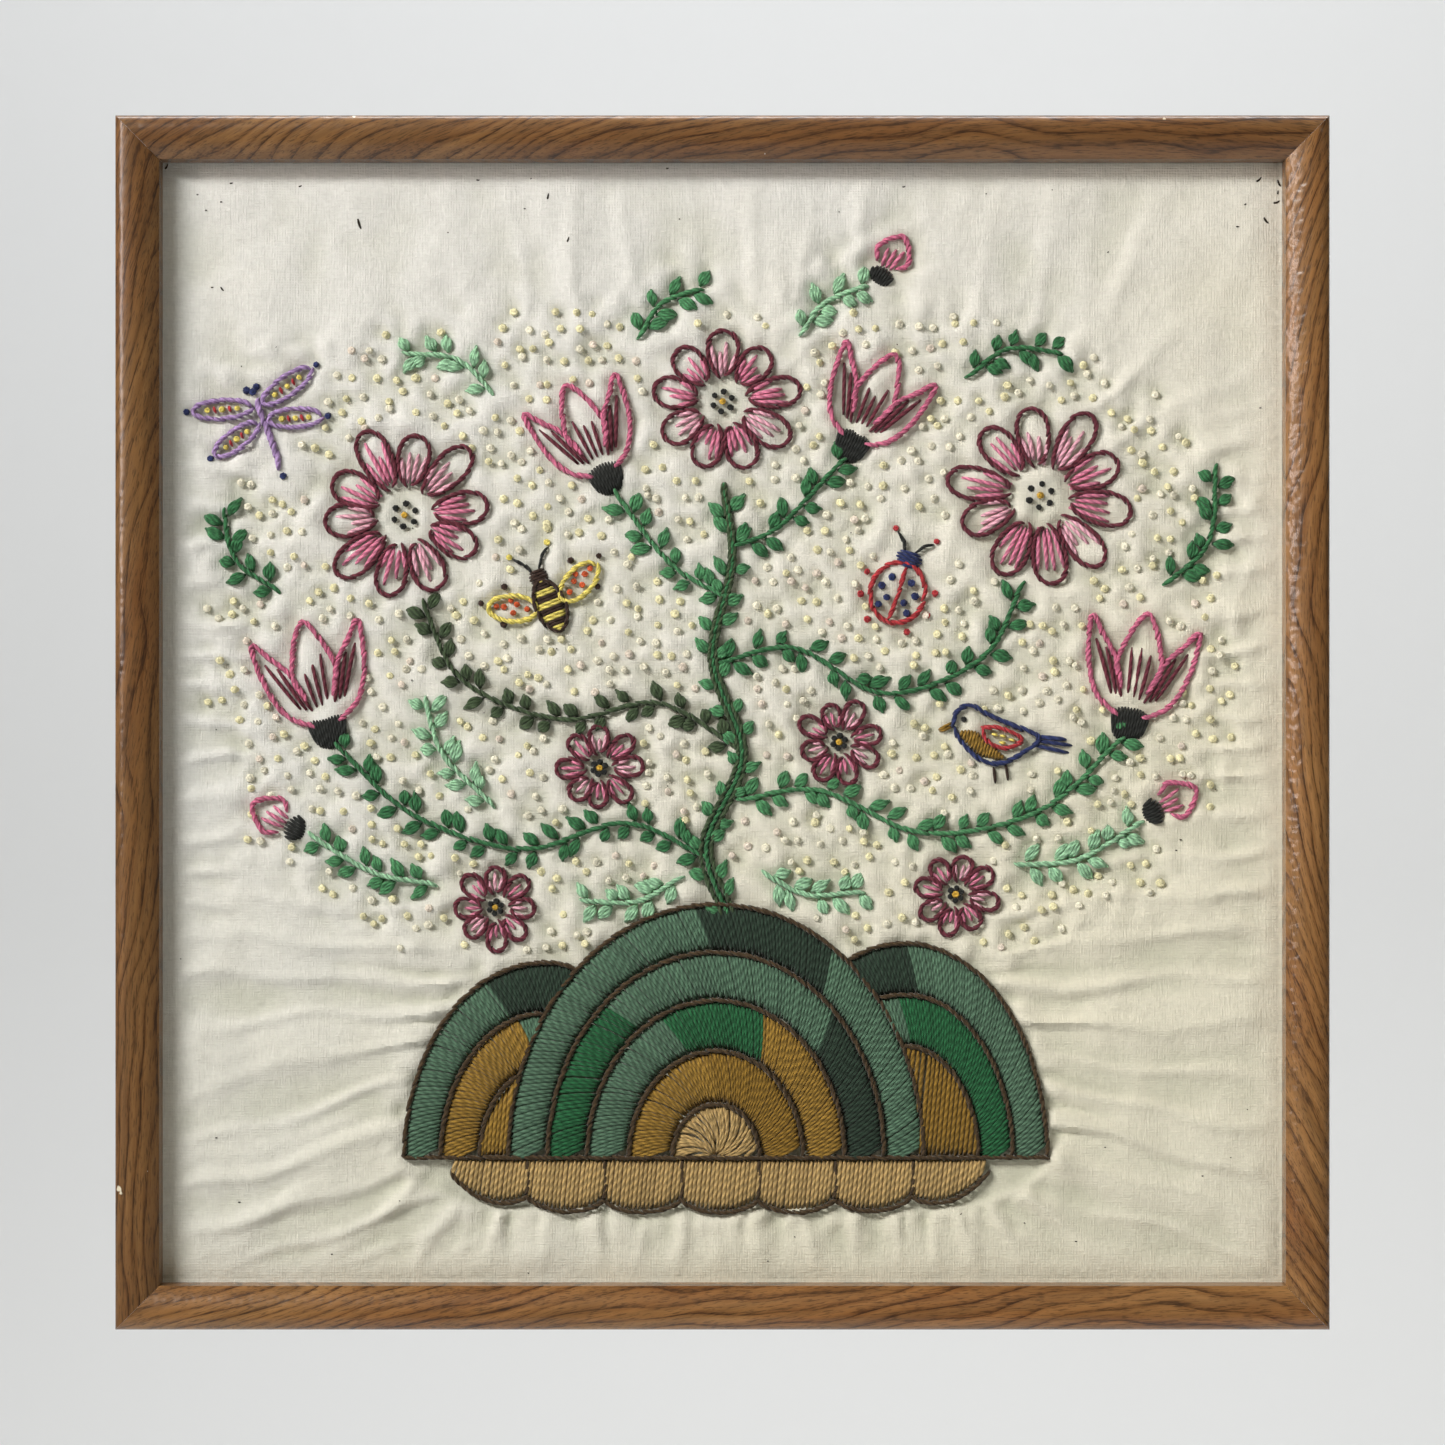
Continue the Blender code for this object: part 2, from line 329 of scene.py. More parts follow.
def along(line, distance):
    """Points and left-hand normals at the given distances along a line of points."""
    run = running_length(line)
    heading = np.gradient(line, axis=0)
    heading /= np.linalg.norm(heading, axis=1, keepdims=True) + 1e-9
    point = np.stack([np.interp(distance, run, line[:, i]) for i in (0, 1)], axis=-1)
    normal = np.stack([np.interp(distance, run, part) for part in (-heading[:, 1], heading[:, 0])], axis=-1)
    return point, normal


def length_of(line):
    """Length of a line of points."""
    return np.hypot(*np.diff(line, axis=0).T).sum()


def strands(wool, flat, radius, top, rise=3.0, base=0.0):
    """Strands of one wool over the cloth; flat is (strands, rings, 2) in x, z. Each comes up through it, bows
    to its top height as 1 - |2 t - 1| ^ rise, and goes down again, thinner where it enters."""
    t = np.linspace(0, 1, flat.shape[1])[None, :]
    bow = 1 - abs(2 * t - 1) ** rise
    lift = -YARN_SINK + (YARN_SINK + base + top) * bow
    path = np.dstack((flat, cloth_top(flat[..., 0], flat[..., 1]) + lift))
    thick = radius * (0.62 + 0.38 * bow) * rng.uniform(0.92, 1.08, (len(flat), 1))
    return wool, path, thick


def pull(points, depth, width):
    """Note that stitches enter the cloth at these points and dimple it to this depth and width in mm."""
    points = np.asarray(points, float).reshape(-1, 2)
    pulls.append(np.column_stack((points, np.full(len(points), depth), np.full(len(points), width))))


def straight(wool, starts, ends, radius=0.5, top=0.45, rings=6, bend=0.0, depth=0.3, **more):
    """Straight stitches from starts to ends, bowed sideways by bend * sin(pi t)."""
    starts, ends = np.atleast_2d(starts).astype(float), np.atleast_2d(ends).astype(float)
    t = np.linspace(0, 1, rings)[None, :, None]
    flat = starts[:, None] * (1 - t) + ends[:, None] * t
    reach = ends - starts
    side = np.stack((-reach[:, 1], reach[:, 0]), axis=1)
    side /= np.linalg.norm(side, axis=1, keepdims=True) + 1e-9
    bends = np.broadcast_to(np.asarray(bend, float), len(starts))
    flat = flat + side[:, None] * bends[:, None, None] * np.sin(math.pi * t)
    if depth:
        pull(np.vstack((starts, ends)), depth, 1.5)
    return strands(wool, flat, radius, top, **more)


def stem_stitch(wool, line, width=2.1, step=2.5, base=0.25):
    """Rope of overlapping stitches: each runs 1.9 steps along the line while it crosses from one side to the
    other, so the next lies half beside and half under it."""
    length = length_of(line)
    count = max(2, round(length / step))
    start = (np.arange(count) + rng.uniform(-0.22, 0.22, count)) * length / count
    first = np.clip(start - 0.45 * step, 0, length)[:, None]
    last = np.clip(start + rng.uniform(1.3, 1.6, count) * step, 0, length)[:, None]
    t = np.linspace(0, 1, 6)[None, :]
    centre, normal = along(line, first + (last - first) * t)
    aside = 0.25 * width * (1 - 2 * t) + rng.uniform(-0.13, 0.13, (count, 1))
    pull(along(line, start)[0], 0.42, 2.0)
    return strands(wool, centre + normal * aside[..., None], 0.28 * width, 0.5, base=base)


def placed(name, data):
    """An object that shows the data, linked to the scene."""
    thing = bpy.data.objects.new(name, data)
    bpy.context.scene.collection.objects.link(thing)
    return thing


def sew(name, stitches, sides=6):
    """One mesh of all the stitches: a ring of vertices round every path point, at path + radius (beside cos a
    + above sin a), where beside is level with the cloth, and closed ends. The strand map holds the distance
    along in mm and the part of a turn; tone is one shade for each strand."""
    names = sorted({wool for wool, _, _ in stitches})
    vertices, corners, totals, slots, maps, tones = [], [], [], [], [], []
    turn = np.linspace(0, 2 * math.pi, sides, endpoint=False)
    count = 0
    for wool, path, thick in stitches:
        tangent = np.gradient(path, axis=1)
        tangent /= np.linalg.norm(tangent, axis=2, keepdims=True) + 1e-9
        beside = np.cross(tangent, (0.0, 0.0, 1.0))
        beside /= np.linalg.norm(beside, axis=2, keepdims=True) + 1e-9
        above = np.cross(beside, tangent)
        ring = beside[:, :, None] * np.cos(turn)[:, None] + above[:, :, None] * np.sin(turn)[:, None]
        points = path[:, :, None] + ring * thick[:, :, None, None]
        number, rings = path.shape[:2]
        index = count + np.arange(number * rings * sides).reshape(number, rings, sides)
        beyond = np.roll(index, -1, axis=2)
        walls = np.stack((index[:, :-1], index[:, 1:], beyond[:, 1:], beyond[:, :-1]), axis=-1).reshape(-1, 4)
        steps = np.linalg.norm(np.diff(path, axis=1), axis=2)
        run = np.concatenate((np.zeros((number, 1)), np.cumsum(steps, axis=1)), axis=1)
        run += rng.uniform(0, 9, (number, 1))
        u = np.stack((run[:, :-1], run[:, 1:], run[:, 1:], run[:, :-1]), axis=-1)
        u = np.repeat(u[:, :, None], sides, axis=2)
        v = np.arange(sides)[:, None] / sides + np.array((0, 0, 1, 1)) / sides
        wall_map = np.stack((u, np.broadcast_to(v, u.shape)), axis=-1).reshape(-1, 2)
        ends = np.concatenate((index[:, 0], index[:, -1, ::-1])).reshape(-1)
        vertices.append(points.reshape(-1, 3))
        corners += [walls.reshape(-1), ends]
        totals += [np.full(len(walls), 4), np.full(2 * number, sides)]
        slots.append(np.full(len(walls) + 2 * number, names.index(wool)))
        maps += [wall_map, np.zeros((len(ends), 2))]
        tones.append(np.repeat(rng.uniform(0.88, 1.12, number), rings * sides))
        count += number * rings * sides
    x, z, height = np.concatenate(vertices).T
    total = np.concatenate(totals)
    corner = np.concatenate(corners)
    mesh = bpy.data.meshes.new(name)
    mesh.vertices.add(count)
    mesh.vertices.foreach_set("co", np.column_stack((x * MM, -(CLOTH_FRONT + height) * MM,
                                                     z * MM + CENTRE_Z)).ravel())
    mesh.loops.add(len(corner))
    mesh.loops.foreach_set("vertex_index", corner)
    mesh.polygons.add(len(total))
    mesh.polygons.foreach_set("loop_start", np.cumsum(total) - total)
    mesh.polygons.foreach_set("material_index", np.concatenate(slots))
    mesh.uv_layers.new(name="strand").data.foreach_set("uv", np.concatenate(maps).ravel())
    mesh.attributes.new("tone", "FLOAT", "POINT").data.foreach_set("value", np.concatenate(tones))
    for wool in names:
        mesh.materials.append(wools[wool])
    mesh.update(calc_edges=True)
    mesh.shade_smooth()
    piece = placed(name, mesh)
    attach(piece, "root")


dye(bottle_green="#293C30", sage_green="#54745F", leaf_green="#22613B", mustard="#96752F", ochre="#8A6A26",
    sand="#BA9D68", bark_brown="#4A3A26")
STRAND_PITCH = 1.3

# Rows of each mound from the outside in: outer and inner edge as a part of the mound, then the wools from its
# right foot to its left with the part of the half turn where each ends
MOUND_ROWS = {
    "left": (
        (1.0, 0.74, (("bottle_green", 0.62), ("sage_green", 1.0))),
        (0.74, 0.46, (("sage_green", 0.55), ("mustard", 1.0)))),
    "right": (
        (1.0, 0.76, (("sage_green", 0.48), ("bottle_green", 1.0))),
        (0.76, 0.52, (("leaf_green", 0.5), ("sage_green", 1.0)))),
    "front": (
        (1.0, 0.81, (("sage_green", 0.3), ("bottle_green", 0.52), ("sage_green", 1.0))),
        (0.81, 0.62, (("bottle_green", 0.24), ("sage_green", 0.72), ("leaf_green", 1.0))),
        (0.62, 0.42, (("mustard", 0.36), ("leaf_green", 0.62), ("sage_green", 1.0))),
        (0.42, 0.21, (("ochre", 0.5), ("mustard", 1.0))),
        (0.21, 0.0, (("sand", 1.0),))),
}


def on_mound(mound, part, turn):
    """Point of a mound: part of the way from its foot's middle to its outline, at a turn from the right."""
    middle, half, tall = MOUND_SHAPES[mound]
    return np.stack((middle + part * half * np.cos(turn), FOOT + part * tall * np.sin(turn)), axis=-1)


def behind_front(flat):
    """Points inside the front mound moved straight out to its outline, as what lies behind it stops there."""
    middle, half, tall = MOUND_SHAPES["front"]
    centre = np.array((middle, FOOT))
    part = np.linalg.norm((flat - centre) / np.array((half, tall)), axis=-1, keepdims=True)
    return np.where(part < 1.0, centre + (flat - centre) / np.maximum(part, 0.05), flat), part[..., 0]


def mound_rows(mound):
    """Rows of slanted strands between two parts of the mound, each strand a step further round at its top and
    thicker where the strands spread."""
    stitches = []
    _, half, tall = MOUND_SHAPES[mound]
    mean = 0.5 * (half + tall)
    for outer, inner, blocks in MOUND_ROWS[mound]:
        count = int(math.pi * mean * outer / STRAND_PITCH)
        turn = (np.arange(count) + 0.5 + rng.uniform(-0.12, 0.12, count)) / count * math.pi
        slant = 0.42 * (outer - inner) * tall / max(mean * outer, 12.0)
        t = np.linspace(0, 1, 8)[None, :]
        short = rng.uniform(0.0, 0.09 if inner == 0 else 0.014, (count, 1))
        part = (inner + short) + (outer - inner - short + rng.uniform(-0.006, 0.006, (count, 1))) * t
        around = np.clip(turn[:, None] + slant * (t - 0.5), 0.0, math.pi)
        flat = on_mound(mound, np.maximum(part, 0.01), around)
        keep = np.ones(count, bool)
        if mound != "front":
            flat, inside = behind_front(flat)
            keep = (inside > 1.0).sum(axis=1) >= 2
        radius = np.clip(0.60 * part / outer * STRAND_PITCH, 0.48, 0.78)
        share = turn / math.pi
        started = 0.0
        for wool, ended in blocks:
            chosen = keep & (share >= started) & (share < ended)
            stitches.append(strands(wool, flat[chosen], radius[chosen], 0.85, rise=4.0))
            started = ended
    return stitches


def mound_core(mound, part, wool):
    """Upright strands from the foot, or the front mound's outline, up to a side mound's innermost arc."""
    middle, half, tall = MOUND_SHAPES[mound]
    front_middle, front_half, front_tall = MOUND_SHAPES["front"]
    x = np.arange(middle - part * half + 0.7, middle + part * half, STRAND_PITCH)
    top = FOOT + part * tall * np.sqrt(np.clip(1 - ((x - middle) / (part * half)) ** 2, 0, 1))
    low = FOOT + front_tall * np.sqrt(np.clip(1 - ((x - front_middle) / front_half) ** 2, 0, 1))
    shown = top > low + 1.5
    lean = 0.05 * (top - low)
    return straight(wool, np.column_stack((x - lean, low))[shown], np.column_stack((x + lean, top))[shown],
                    radius=0.72, top=0.85, rings=8, depth=0, rise=4.0)


def mound_lines(mound):
    """Brown stem stitch round each row's outer edge, left out behind the front mound."""
    stitches = []
    edges = [outer for outer, _, _ in MOUND_ROWS[mound]]
    if mound != "front":
        edges.append(MOUND_ROWS[mound][-1][1])
    for outer in edges:
        arc = on_mound(mound, outer, np.linspace(0, math.pi, 240))
        if mound != "front":
            arc = arc[behind_front(arc)[1] > 1.0]
        if len(arc) > 12:
            stitches.append(stem_stitch("bark_brown", arc, width=2.0, base=0.75))
    return stitches


fill, edging = [mound_core("left", 0.46, "mustard"), mound_core("right", 0.52, "ochre")], []
for mound in ("left", "right", "front"):
    fill += mound_rows(mound)
    edging += mound_lines(mound)
    covered.append((on_mound(mound, 1.0, np.linspace(0, math.pi, 60)), 5.5))
    covered.append((on_mound(mound, 0.75, np.linspace(0, math.pi, 40)), 14.0))
sew("mound_filling", fill)


# Turf under the mounds: a low strip of sand-coloured upright stitches with a scalloped lower edge, parted and
# edged in the same brown stem stitch.

TURF_ENDS = (-84.0, 82.0)
SCALLOPS = 7
TURF_TALL = 13.0


def turf_edge(x):
    """Lower edge of the strip: scallops that hang 4 mm, as |sin|, shallower towards both ends."""
    share = (x - TURF_ENDS[0]) / (TURF_ENDS[1] - TURF_ENDS[0])
    hang = abs(np.sin(math.pi * SCALLOPS * share)) ** 0.6
    return FOOT - TURF_TALL - 4.0 * hang + 9.0 * abs(2 * share - 1) ** 6


upright_x = np.arange(TURF_ENDS[0] + 1.5, TURF_ENDS[1] - 1.5, STRAND_PITCH)
upright_x = upright_x + rng.uniform(-0.12, 0.12, len(upright_x))
tops = np.column_stack((upright_x + 0.8, np.full(len(upright_x), FOOT - 0.6)))
ends = np.column_stack((upright_x - 0.8, turf_edge(upright_x) + 0.8))
turf = straight("sand", tops, ends, radius=0.72, top=0.75, rings=8, depth=0, rise=4.0)
edge_x = np.linspace(*TURF_ENDS, 260)
edge = np.column_stack((edge_x, turf_edge(edge_x)))
edging.append(stem_stitch("bark_brown", edge, width=2.0, base=0.55))
foot = np.linspace((-99.0, FOOT), (101.0, FOOT), 300)
edging.append(stem_stitch("bark_brown", foot, width=2.0, base=0.75))
for part in range(1, SCALLOPS):
    x = TURF_ENDS[0] + (TURF_ENDS[1] - TURF_ENDS[0]) * part / SCALLOPS
    seam = line_through(((x, FOOT - 1), (x + 0.6, FOOT - 7), (x, float(turf_edge(np.array(x))))))
    edging.append(stem_stitch("bark_brown", seam, width=1.8, base=0.6))
covered.append((edge, 6.0))
sew("turf_filling", [turf])
sew("mound_edging", edging)


# Boughs: curling lines of dark and mid green stem stitch that grow out of the front mound, three lines side
# by side on the trunk and one on the rest, with small plump satin leaves sewn left and right along them.

dye(fern_green="#38744A", grass_green="#4C8A5D", mint_green="#9BCBA6", moss_green="#43553B")

# The wool of each bough and of its leaves, their step, and the points that it is drawn through
BOUGHS = (
    ("fern_green", "grass_green", 9.0, ((2, -60), (-5, -38), (6, -10), (-3, 20), (3, 50), (0, 74))),
    ("fern_green", "fern_green", 7.5, ((-4, -42), (-30, -31), (-62, -39), (-96, -28), (-120, -6))),
    ("grass_green", "grass_green", 7.5, ((4, -24), (30, -21), (62, -34), (98, -27), (124, -4))),
    ("moss_green", "moss_green", 8.0, ((5, -8), (-20, 6), (-50, 1), (-80, 13), (-93, 38))),
    ("fern_green", "fern_green", 8.0, ((-2, 18), (22, 23), (50, 9), (80, 20), (93, 44))),
    ("grass_green", "grass_green", 7.5, ((2, 38), (-16, 49), (-34, 72))),
    ("fern_green", "fern_green", 7.5, ((3, 54), (18, 61), (38, 82))),
)

# Loose sprigs between the boughs, in the same order of columns but for the step
SPRIG_STEP = 6.5
SPRIGS = (
    ("mint_green", "mint_green", ((-12, -47), (-26, -55), (-44, -55))),
    ("mint_green", "mint_green", ((12, -46), (26, -53), (44, -52))),
    ("mint_green", "mint_green", ((-70, -26), (-86, -10), (-92, 8))),
    ("mint_green", "grass_green", ((-88, -50), (-108, -46), (-128, -34))),
    ("mint_green", "mint_green", ((90, -44), (110, -42), (130, -30))),
    ("grass_green", "grass_green", ((-26, 118), (-19, 129), (-6, 134))),
    ("mint_green", "mint_green", ((24, 119), (31, 129), (45, 135))),
    ("fern_green", "fern_green", ((136, 42), (150, 56), (152, 80))),
    ("mint_green", "mint_green", ((-70, 101), (-82, 112), (-99, 114))),
    ("fern_green", "fern_green", ((75, 106), (88, 115), (105, 114))),
    ("fern_green", "fern_green", ((-136, 40), (-150, 50), (-154, 66))),
)


def leaf(wool, foot, aim, long, wide):
    """Satin leaf: plump strands side by side from foot to tip, bowed out to an oval."""
    ahead = np.array((math.cos(aim), math.sin(aim)))
    beside = np.array((-ahead[1], ahead[0]))
    share = np.linspace(-1, 1, 4)[:, None] + rng.uniform(-0.12, 0.12, (4, 1))
    starts = foot + ahead * (0.9 * abs(share)) + beside * share * 0.13 * wide
    reach = long - 1.2 * abs(share) + rng.uniform(-0.4, 0.4, (4, 1))
    ends = foot + ahead * reach + beside * share * 0.16 * wide
    return straight(wool, starts, ends, radius=0.62, top=0.75, bend=0.26 * wide * share[:, 0], depth=0.35)


def leafy(wool, leaf_wool, step, points):
    """A stem of stem stitch and its leaves in pairs, one left and one right at each step, one of each pair
    set a little further along, on the two sides by turns.
    """
    line = line_through(points)
    stitches = [stem_stitch(wool, line, width=2.1)]
    distance = np.arange(3.5, length_of(line) - 2.0, step)
    distance = distance + rng.uniform(-0.8, 0.8, len(distance))
    feet, normals = along(line, distance)
    for number, (foot, normal) in enumerate(zip(feet, normals)):
        for side in (1, -1):
            heading = math.atan2(-normal[0], normal[1])
            aim = heading + side * rng.uniform(0.65, 1.05)
            shift = (normal[1], -normal[0]) if side == (1 if number % 2 else -1) else (0.0, 0.0)
            start = foot + side * normal * 0.9 + np.array(shift) * rng.uniform(1.5, 3.2)
            stitches.append(leaf(leaf_wool, start, aim, rng.uniform(5.2, 7.4), rng.uniform(2.7, 3.6)))
    covered.append((line, 7.6))
    return stitches


greenery, sprays = [], []
for bough in BOUGHS:
    greenery += leafy(*bough)
trunk = line_through(BOUGHS[0][3])
centre, normal = along(trunk, np.linspace(0, length_of(trunk), 200))
taper = np.linspace(1.9, 0.4, 200)[:, None]
for side in (1, -1):
    greenery.append(stem_stitch("moss_green", centre + side * normal * taper, width=2.0))
for wool, leaf_wool, points in SPRIGS:
    sprays += leafy(wool, leaf_wool, SPRIG_STEP, points)
sew("boughs", greenery)
sew("sprigs", sprays)


# Daisies: open flowers with oval petals outlined in wine-red stem stitch, three or four pink straight
# stitches inside each petal, and a bare middle ringed by black knots with a gold one at its heart.

dye(wine_red="#682C3A", rose_pink="#D8809F", shell_pink="#E9B0C3", ink_black="#242726", gold="#CFA63E")

# x, z, outer radius, petals and the turn of the first petal in degrees
DAISIES = ((0, 99, 23, 9, 90), (-98, 64, 27, 10, 80), (98, 70, 28, 10, 96), (-70, -57, 13, 8, 90),
           (72, -53, 13, 8, 78), (36, -6, 13, 8, 60), (-38, -14, 13, 8, 90))


def knot(wool, x, z, size=1.0):
    """French knots: the strand winds one and a half times round, its ring closing in as 1 - t ^ 4 while it
    climbs, and then dives into the middle. Each sits in the dimple it draws in the cloth."""
    x, z = np.atleast_1d(x).astype(float), np.atleast_1d(z).astype(float)
    number = len(x)
    t = np.linspace(0, 1, 11)[None, :]
    turn = rng.uniform(0, 2 * math.pi, (number, 1)) + 3.1 * math.pi * t
    ring = size * rng.uniform(0.52, 0.70, (number, 1)) * (1 - 0.2 * t) * (1 - t ** 4)
    stretch = rng.uniform(0.85, 1.25, (number, 1))
    flat = np.stack((x[:, None] + ring * np.cos(turn) * stretch, z[:, None] + ring * np.sin(turn)), axis=-1)
    lift = size * 0.72 * np.sin(math.pi * (0.05 + 0.62 * t)) - 0.62 - 0.35 * t ** 10
    height = cloth_top(x, z)[:, None] + lift
    pull(np.column_stack((x, z)), 1.15, 1.65)
    thick = size * rng.uniform(0.48, 0.60, (number, 1)) + 0 * t
    return wool, np.dstack((flat, height)), thick


def daisy(x, z, reach, petals, first):
    """Petals are ovals from a third of the reach to the full reach; the thick stitches inside fan with them
    and leave cloth showing between."""
    stitches = []
    middle = np.array((x, z))
    inner = 0.33 * reach
    half = 0.95 * math.pi * 0.66 * reach / petals
    round_petal = np.linspace(0.05, 1.95, 60) * math.pi
    for number in range(petals):
        aim = math.radians(first) + 2 * math.pi * number / petals + rng.uniform(-0.05, 0.05)
        ahead = np.array((math.cos(aim), math.sin(aim)))
        beside = np.array((-ahead[1], ahead[0]))
        long = reach * rng.uniform(0.90, 1.06)
        out = 0.5 * (inner + long) - 0.5 * (long - inner) * np.cos(round_petal)
        swell = 0.70 + 0.40 * (out - inner) / (long - inner)
        wide = half * rng.uniform(0.92, 1.04) * np.sin(round_petal) * swell
        line = middle + out[:, None] * ahead + wide[:, None] * beside
        stitches.append(stem_stitch("wine_red", line, width=2.0, step=2.5))
        rows = 4 if reach > 18 else 3
        spread = np.linspace(-0.56, 0.56, rows)[:, None] + rng.uniform(-0.06, 0.06, (rows, 1))
        tip = rng.uniform(0.52, 0.88, (rows, 1)) - 0.16 * abs(spread)
        foot = rng.uniform(0.0, 0.12, (rows, 1))
        start = middle + ahead * (inner + foot * (long - inner)) + beside * spread * half * 0.62
        end = middle + ahead * (inner + tip * (long - inner)) + beside * spread * half * 1.3
        main = "rose_pink" if number % 3 else "shell_pink"
        stitches.append(straight(main, start, end, radius=0.66 if reach > 18 else 0.52, top=0.6))
    around = np.arange(6) / 6 * 2 * math.pi + 0.4
    ring = 0.115 * reach + 0.4
    stitches += [knot("ink_black", x + ring * np.cos(around), z + ring * np.sin(around), size=0.95),
                 knot("gold", x, z, size=1.05)]
    covered.append((middle[None], reach + 3.4))
    return stitches


flowers = []
for flower in DAISIES:
    flowers += daisy(*flower)
sew("daisies", flowers)


# Tulips: flowers seen from the side, three pointed petals outlined in bright pink stem stitch, wine-red
# straight stitches that spread up from the cup, and the cup itself in black satin stitch.

dye(bright_pink="#C96C8D")

# x, z of the cup, height of the flower and its turn to the left in degrees
TULIPS = ((-121, -4, 34, 14), (125, -2, 34, -10), (-35, 74, 31, 24), (39, 84, 31, -26), (132, -28, 15, -62),
          (-131, -33, 15, 60), (48.5, 137, 14, -30))

# Half outlines in parts of the flower's height, across and up from the cup
OUTER_PETAL = ((0.10, 0.10), (0.33, 0.26), (0.46, 0.56), (0.50, 0.96), (0.36, 0.80), (0.22, 0.62),
               (0.12, 0.34))
MIDDLE_PETAL = ((-0.12, 0.34), (-0.20, 0.62), (0.0, 1.06), (0.20, 0.62), (0.12, 0.34))


def turned(points, x, z, aim, size=1.0):
    """Points drawn upright round 0, 0, scaled by size, turned aim degrees to the left and moved to x, z."""
    turn = math.radians(aim)
    spin = np.array(((math.cos(turn), math.sin(turn)), (-math.sin(turn), math.cos(turn))))
    return size * np.asarray(points, float) @ spin + (x, z)


def mirrored(points, side):
    """The points with x turned to the side, 1 for the right and -1 for the left."""
    return np.array(points) * (side, 1)


def tulip(x, z, tall, lean):
    """Three petals drawn in the flower's own upright axes and then leaned over; a small one is a bud with one
    petal and fewer stitches."""
    place = functools.partial(turned, x=x, z=z, aim=lean, size=tall)
    stitches = []
    full = tall > 20
    for side in (1, -1) if full else ():
        petal = line_through(mirrored(OUTER_PETAL, side), spacing=0.02)
        across = np.array((0.19, 0.28, 0.37))
        start = mirrored(np.column_stack((0.55 * across, 0.22 + 0.2 * across)), side)
        end = mirrored(np.column_stack((1.14 * across, (0.54, 0.70, 0.76))), side)
        stitches += [stem_stitch("bright_pink", place(petal), width=2.2, step=2.4),
                     straight("wine_red", place(start), place(end), radius=0.66, top=0.55)]
    petal = line_through(np.array(MIDDLE_PETAL) * (1.0 if full else 1.9, 1), spacing=0.02)
    stitches.append(stem_stitch("bright_pink", place(petal), width=2.2, step=2.4))
    across = np.linspace(-0.09, 0.09, 3) * (1 if full else 1.9)
    start = np.column_stack((0.6 * across, np.full(3, 0.28)))
    end = np.column_stack((across, rng.uniform(0.60, 0.78, 3)))
    inside = "wine_red" if full else "rose_pink"
    stitches.append(straight(inside, place(start), place(end), radius=0.62, top=0.55))
    across = np.linspace(-0.17, 0.17, int(0.36 * tall / 0.9) if full else 8) * (1 if full else 1.5)
    dip = (0.10 if full else 0.16) * np.sqrt(np.clip(1 - (across / (0.18 if full else 0.27)) ** 2, 0, 1))
    stitches.append(straight("ink_black", place(np.column_stack((across * 0.75, -0.02 - dip))),
                             place(np.column_stack((across, 0.10 + dip))), radius=0.58, top=0.75, depth=0.1))
    spots = ((0, 0.4),)
    if full:
        spots = ((0, 0.1), (-0.2, 0.4), (0.2, 0.4), (-0.35, 0.75), (0.35, 0.75), (0, 0.8))
    covered.append((place(spots), 9.6))
    return stitches


profiles = []
for flower in TULIPS:
    profiles += tulip(*flower)
sew("tulips", profiles)


# Small creatures between the boughs, in brighter wools: a bee, a ladybird, a dragonfly and a bird, all in
# stem-stitch outlines with knots, straight stitches and banded satin stitch inside.

dye(navy="#2C3767", lemon="#E9DA72", orange="#D05C33", scarlet="#B5383F", lilac="#AC8FC4", cocoa="#3A2922")


def oval(x, z, half_wide, half_tall, aim=0.0):
    """Closed outline of an oval turned aim degrees to the left."""
    turn = np.linspace(0, 2 * math.pi, 61)
    return turned(np.column_stack((half_wide * np.cos(turn), half_tall * np.sin(turn))), x, z, aim)


SATIN_PITCH = 0.98


def banded(names, outline, aim, band=3, top=0.75):
    """Satin stitch across a rounded outline in the direction aim, band strands of each wool in turn. Each
    strand runs between the outline's two crossings with its row."""
    turn = math.radians(aim)
    ahead, beside = np.array((math.cos(turn), math.sin(turn))), np.array((-math.sin(turn), math.cos(turn)))
    out, aside = outline @ ahead, outline @ beside
    rows = np.arange(aside.min() + 0.45, aside.max() - 0.2, SATIN_PITCH)[:, None]
    share = (rows - aside[:-1]) / (aside[1:] - aside[:-1] + 1e-9)
    crossing = (share >= 0) & (share <= 1)
    place = out[:-1] + share * (out[1:] - out[:-1])
    first = np.where(crossing, place, np.inf).min(axis=1, keepdims=True)
    last = np.where(crossing, place, -np.inf).max(axis=1, keepdims=True)
    starts, ends = first * ahead + rows * beside, last * ahead + rows * beside
    turn_of = (np.arange(len(rows)) // band) % len(names)
    return [straight(wool, starts[turn_of == number], ends[turn_of == number], radius=0.56, top=top, rise=4.0,
                     depth=0) for number, wool in enumerate(names)]


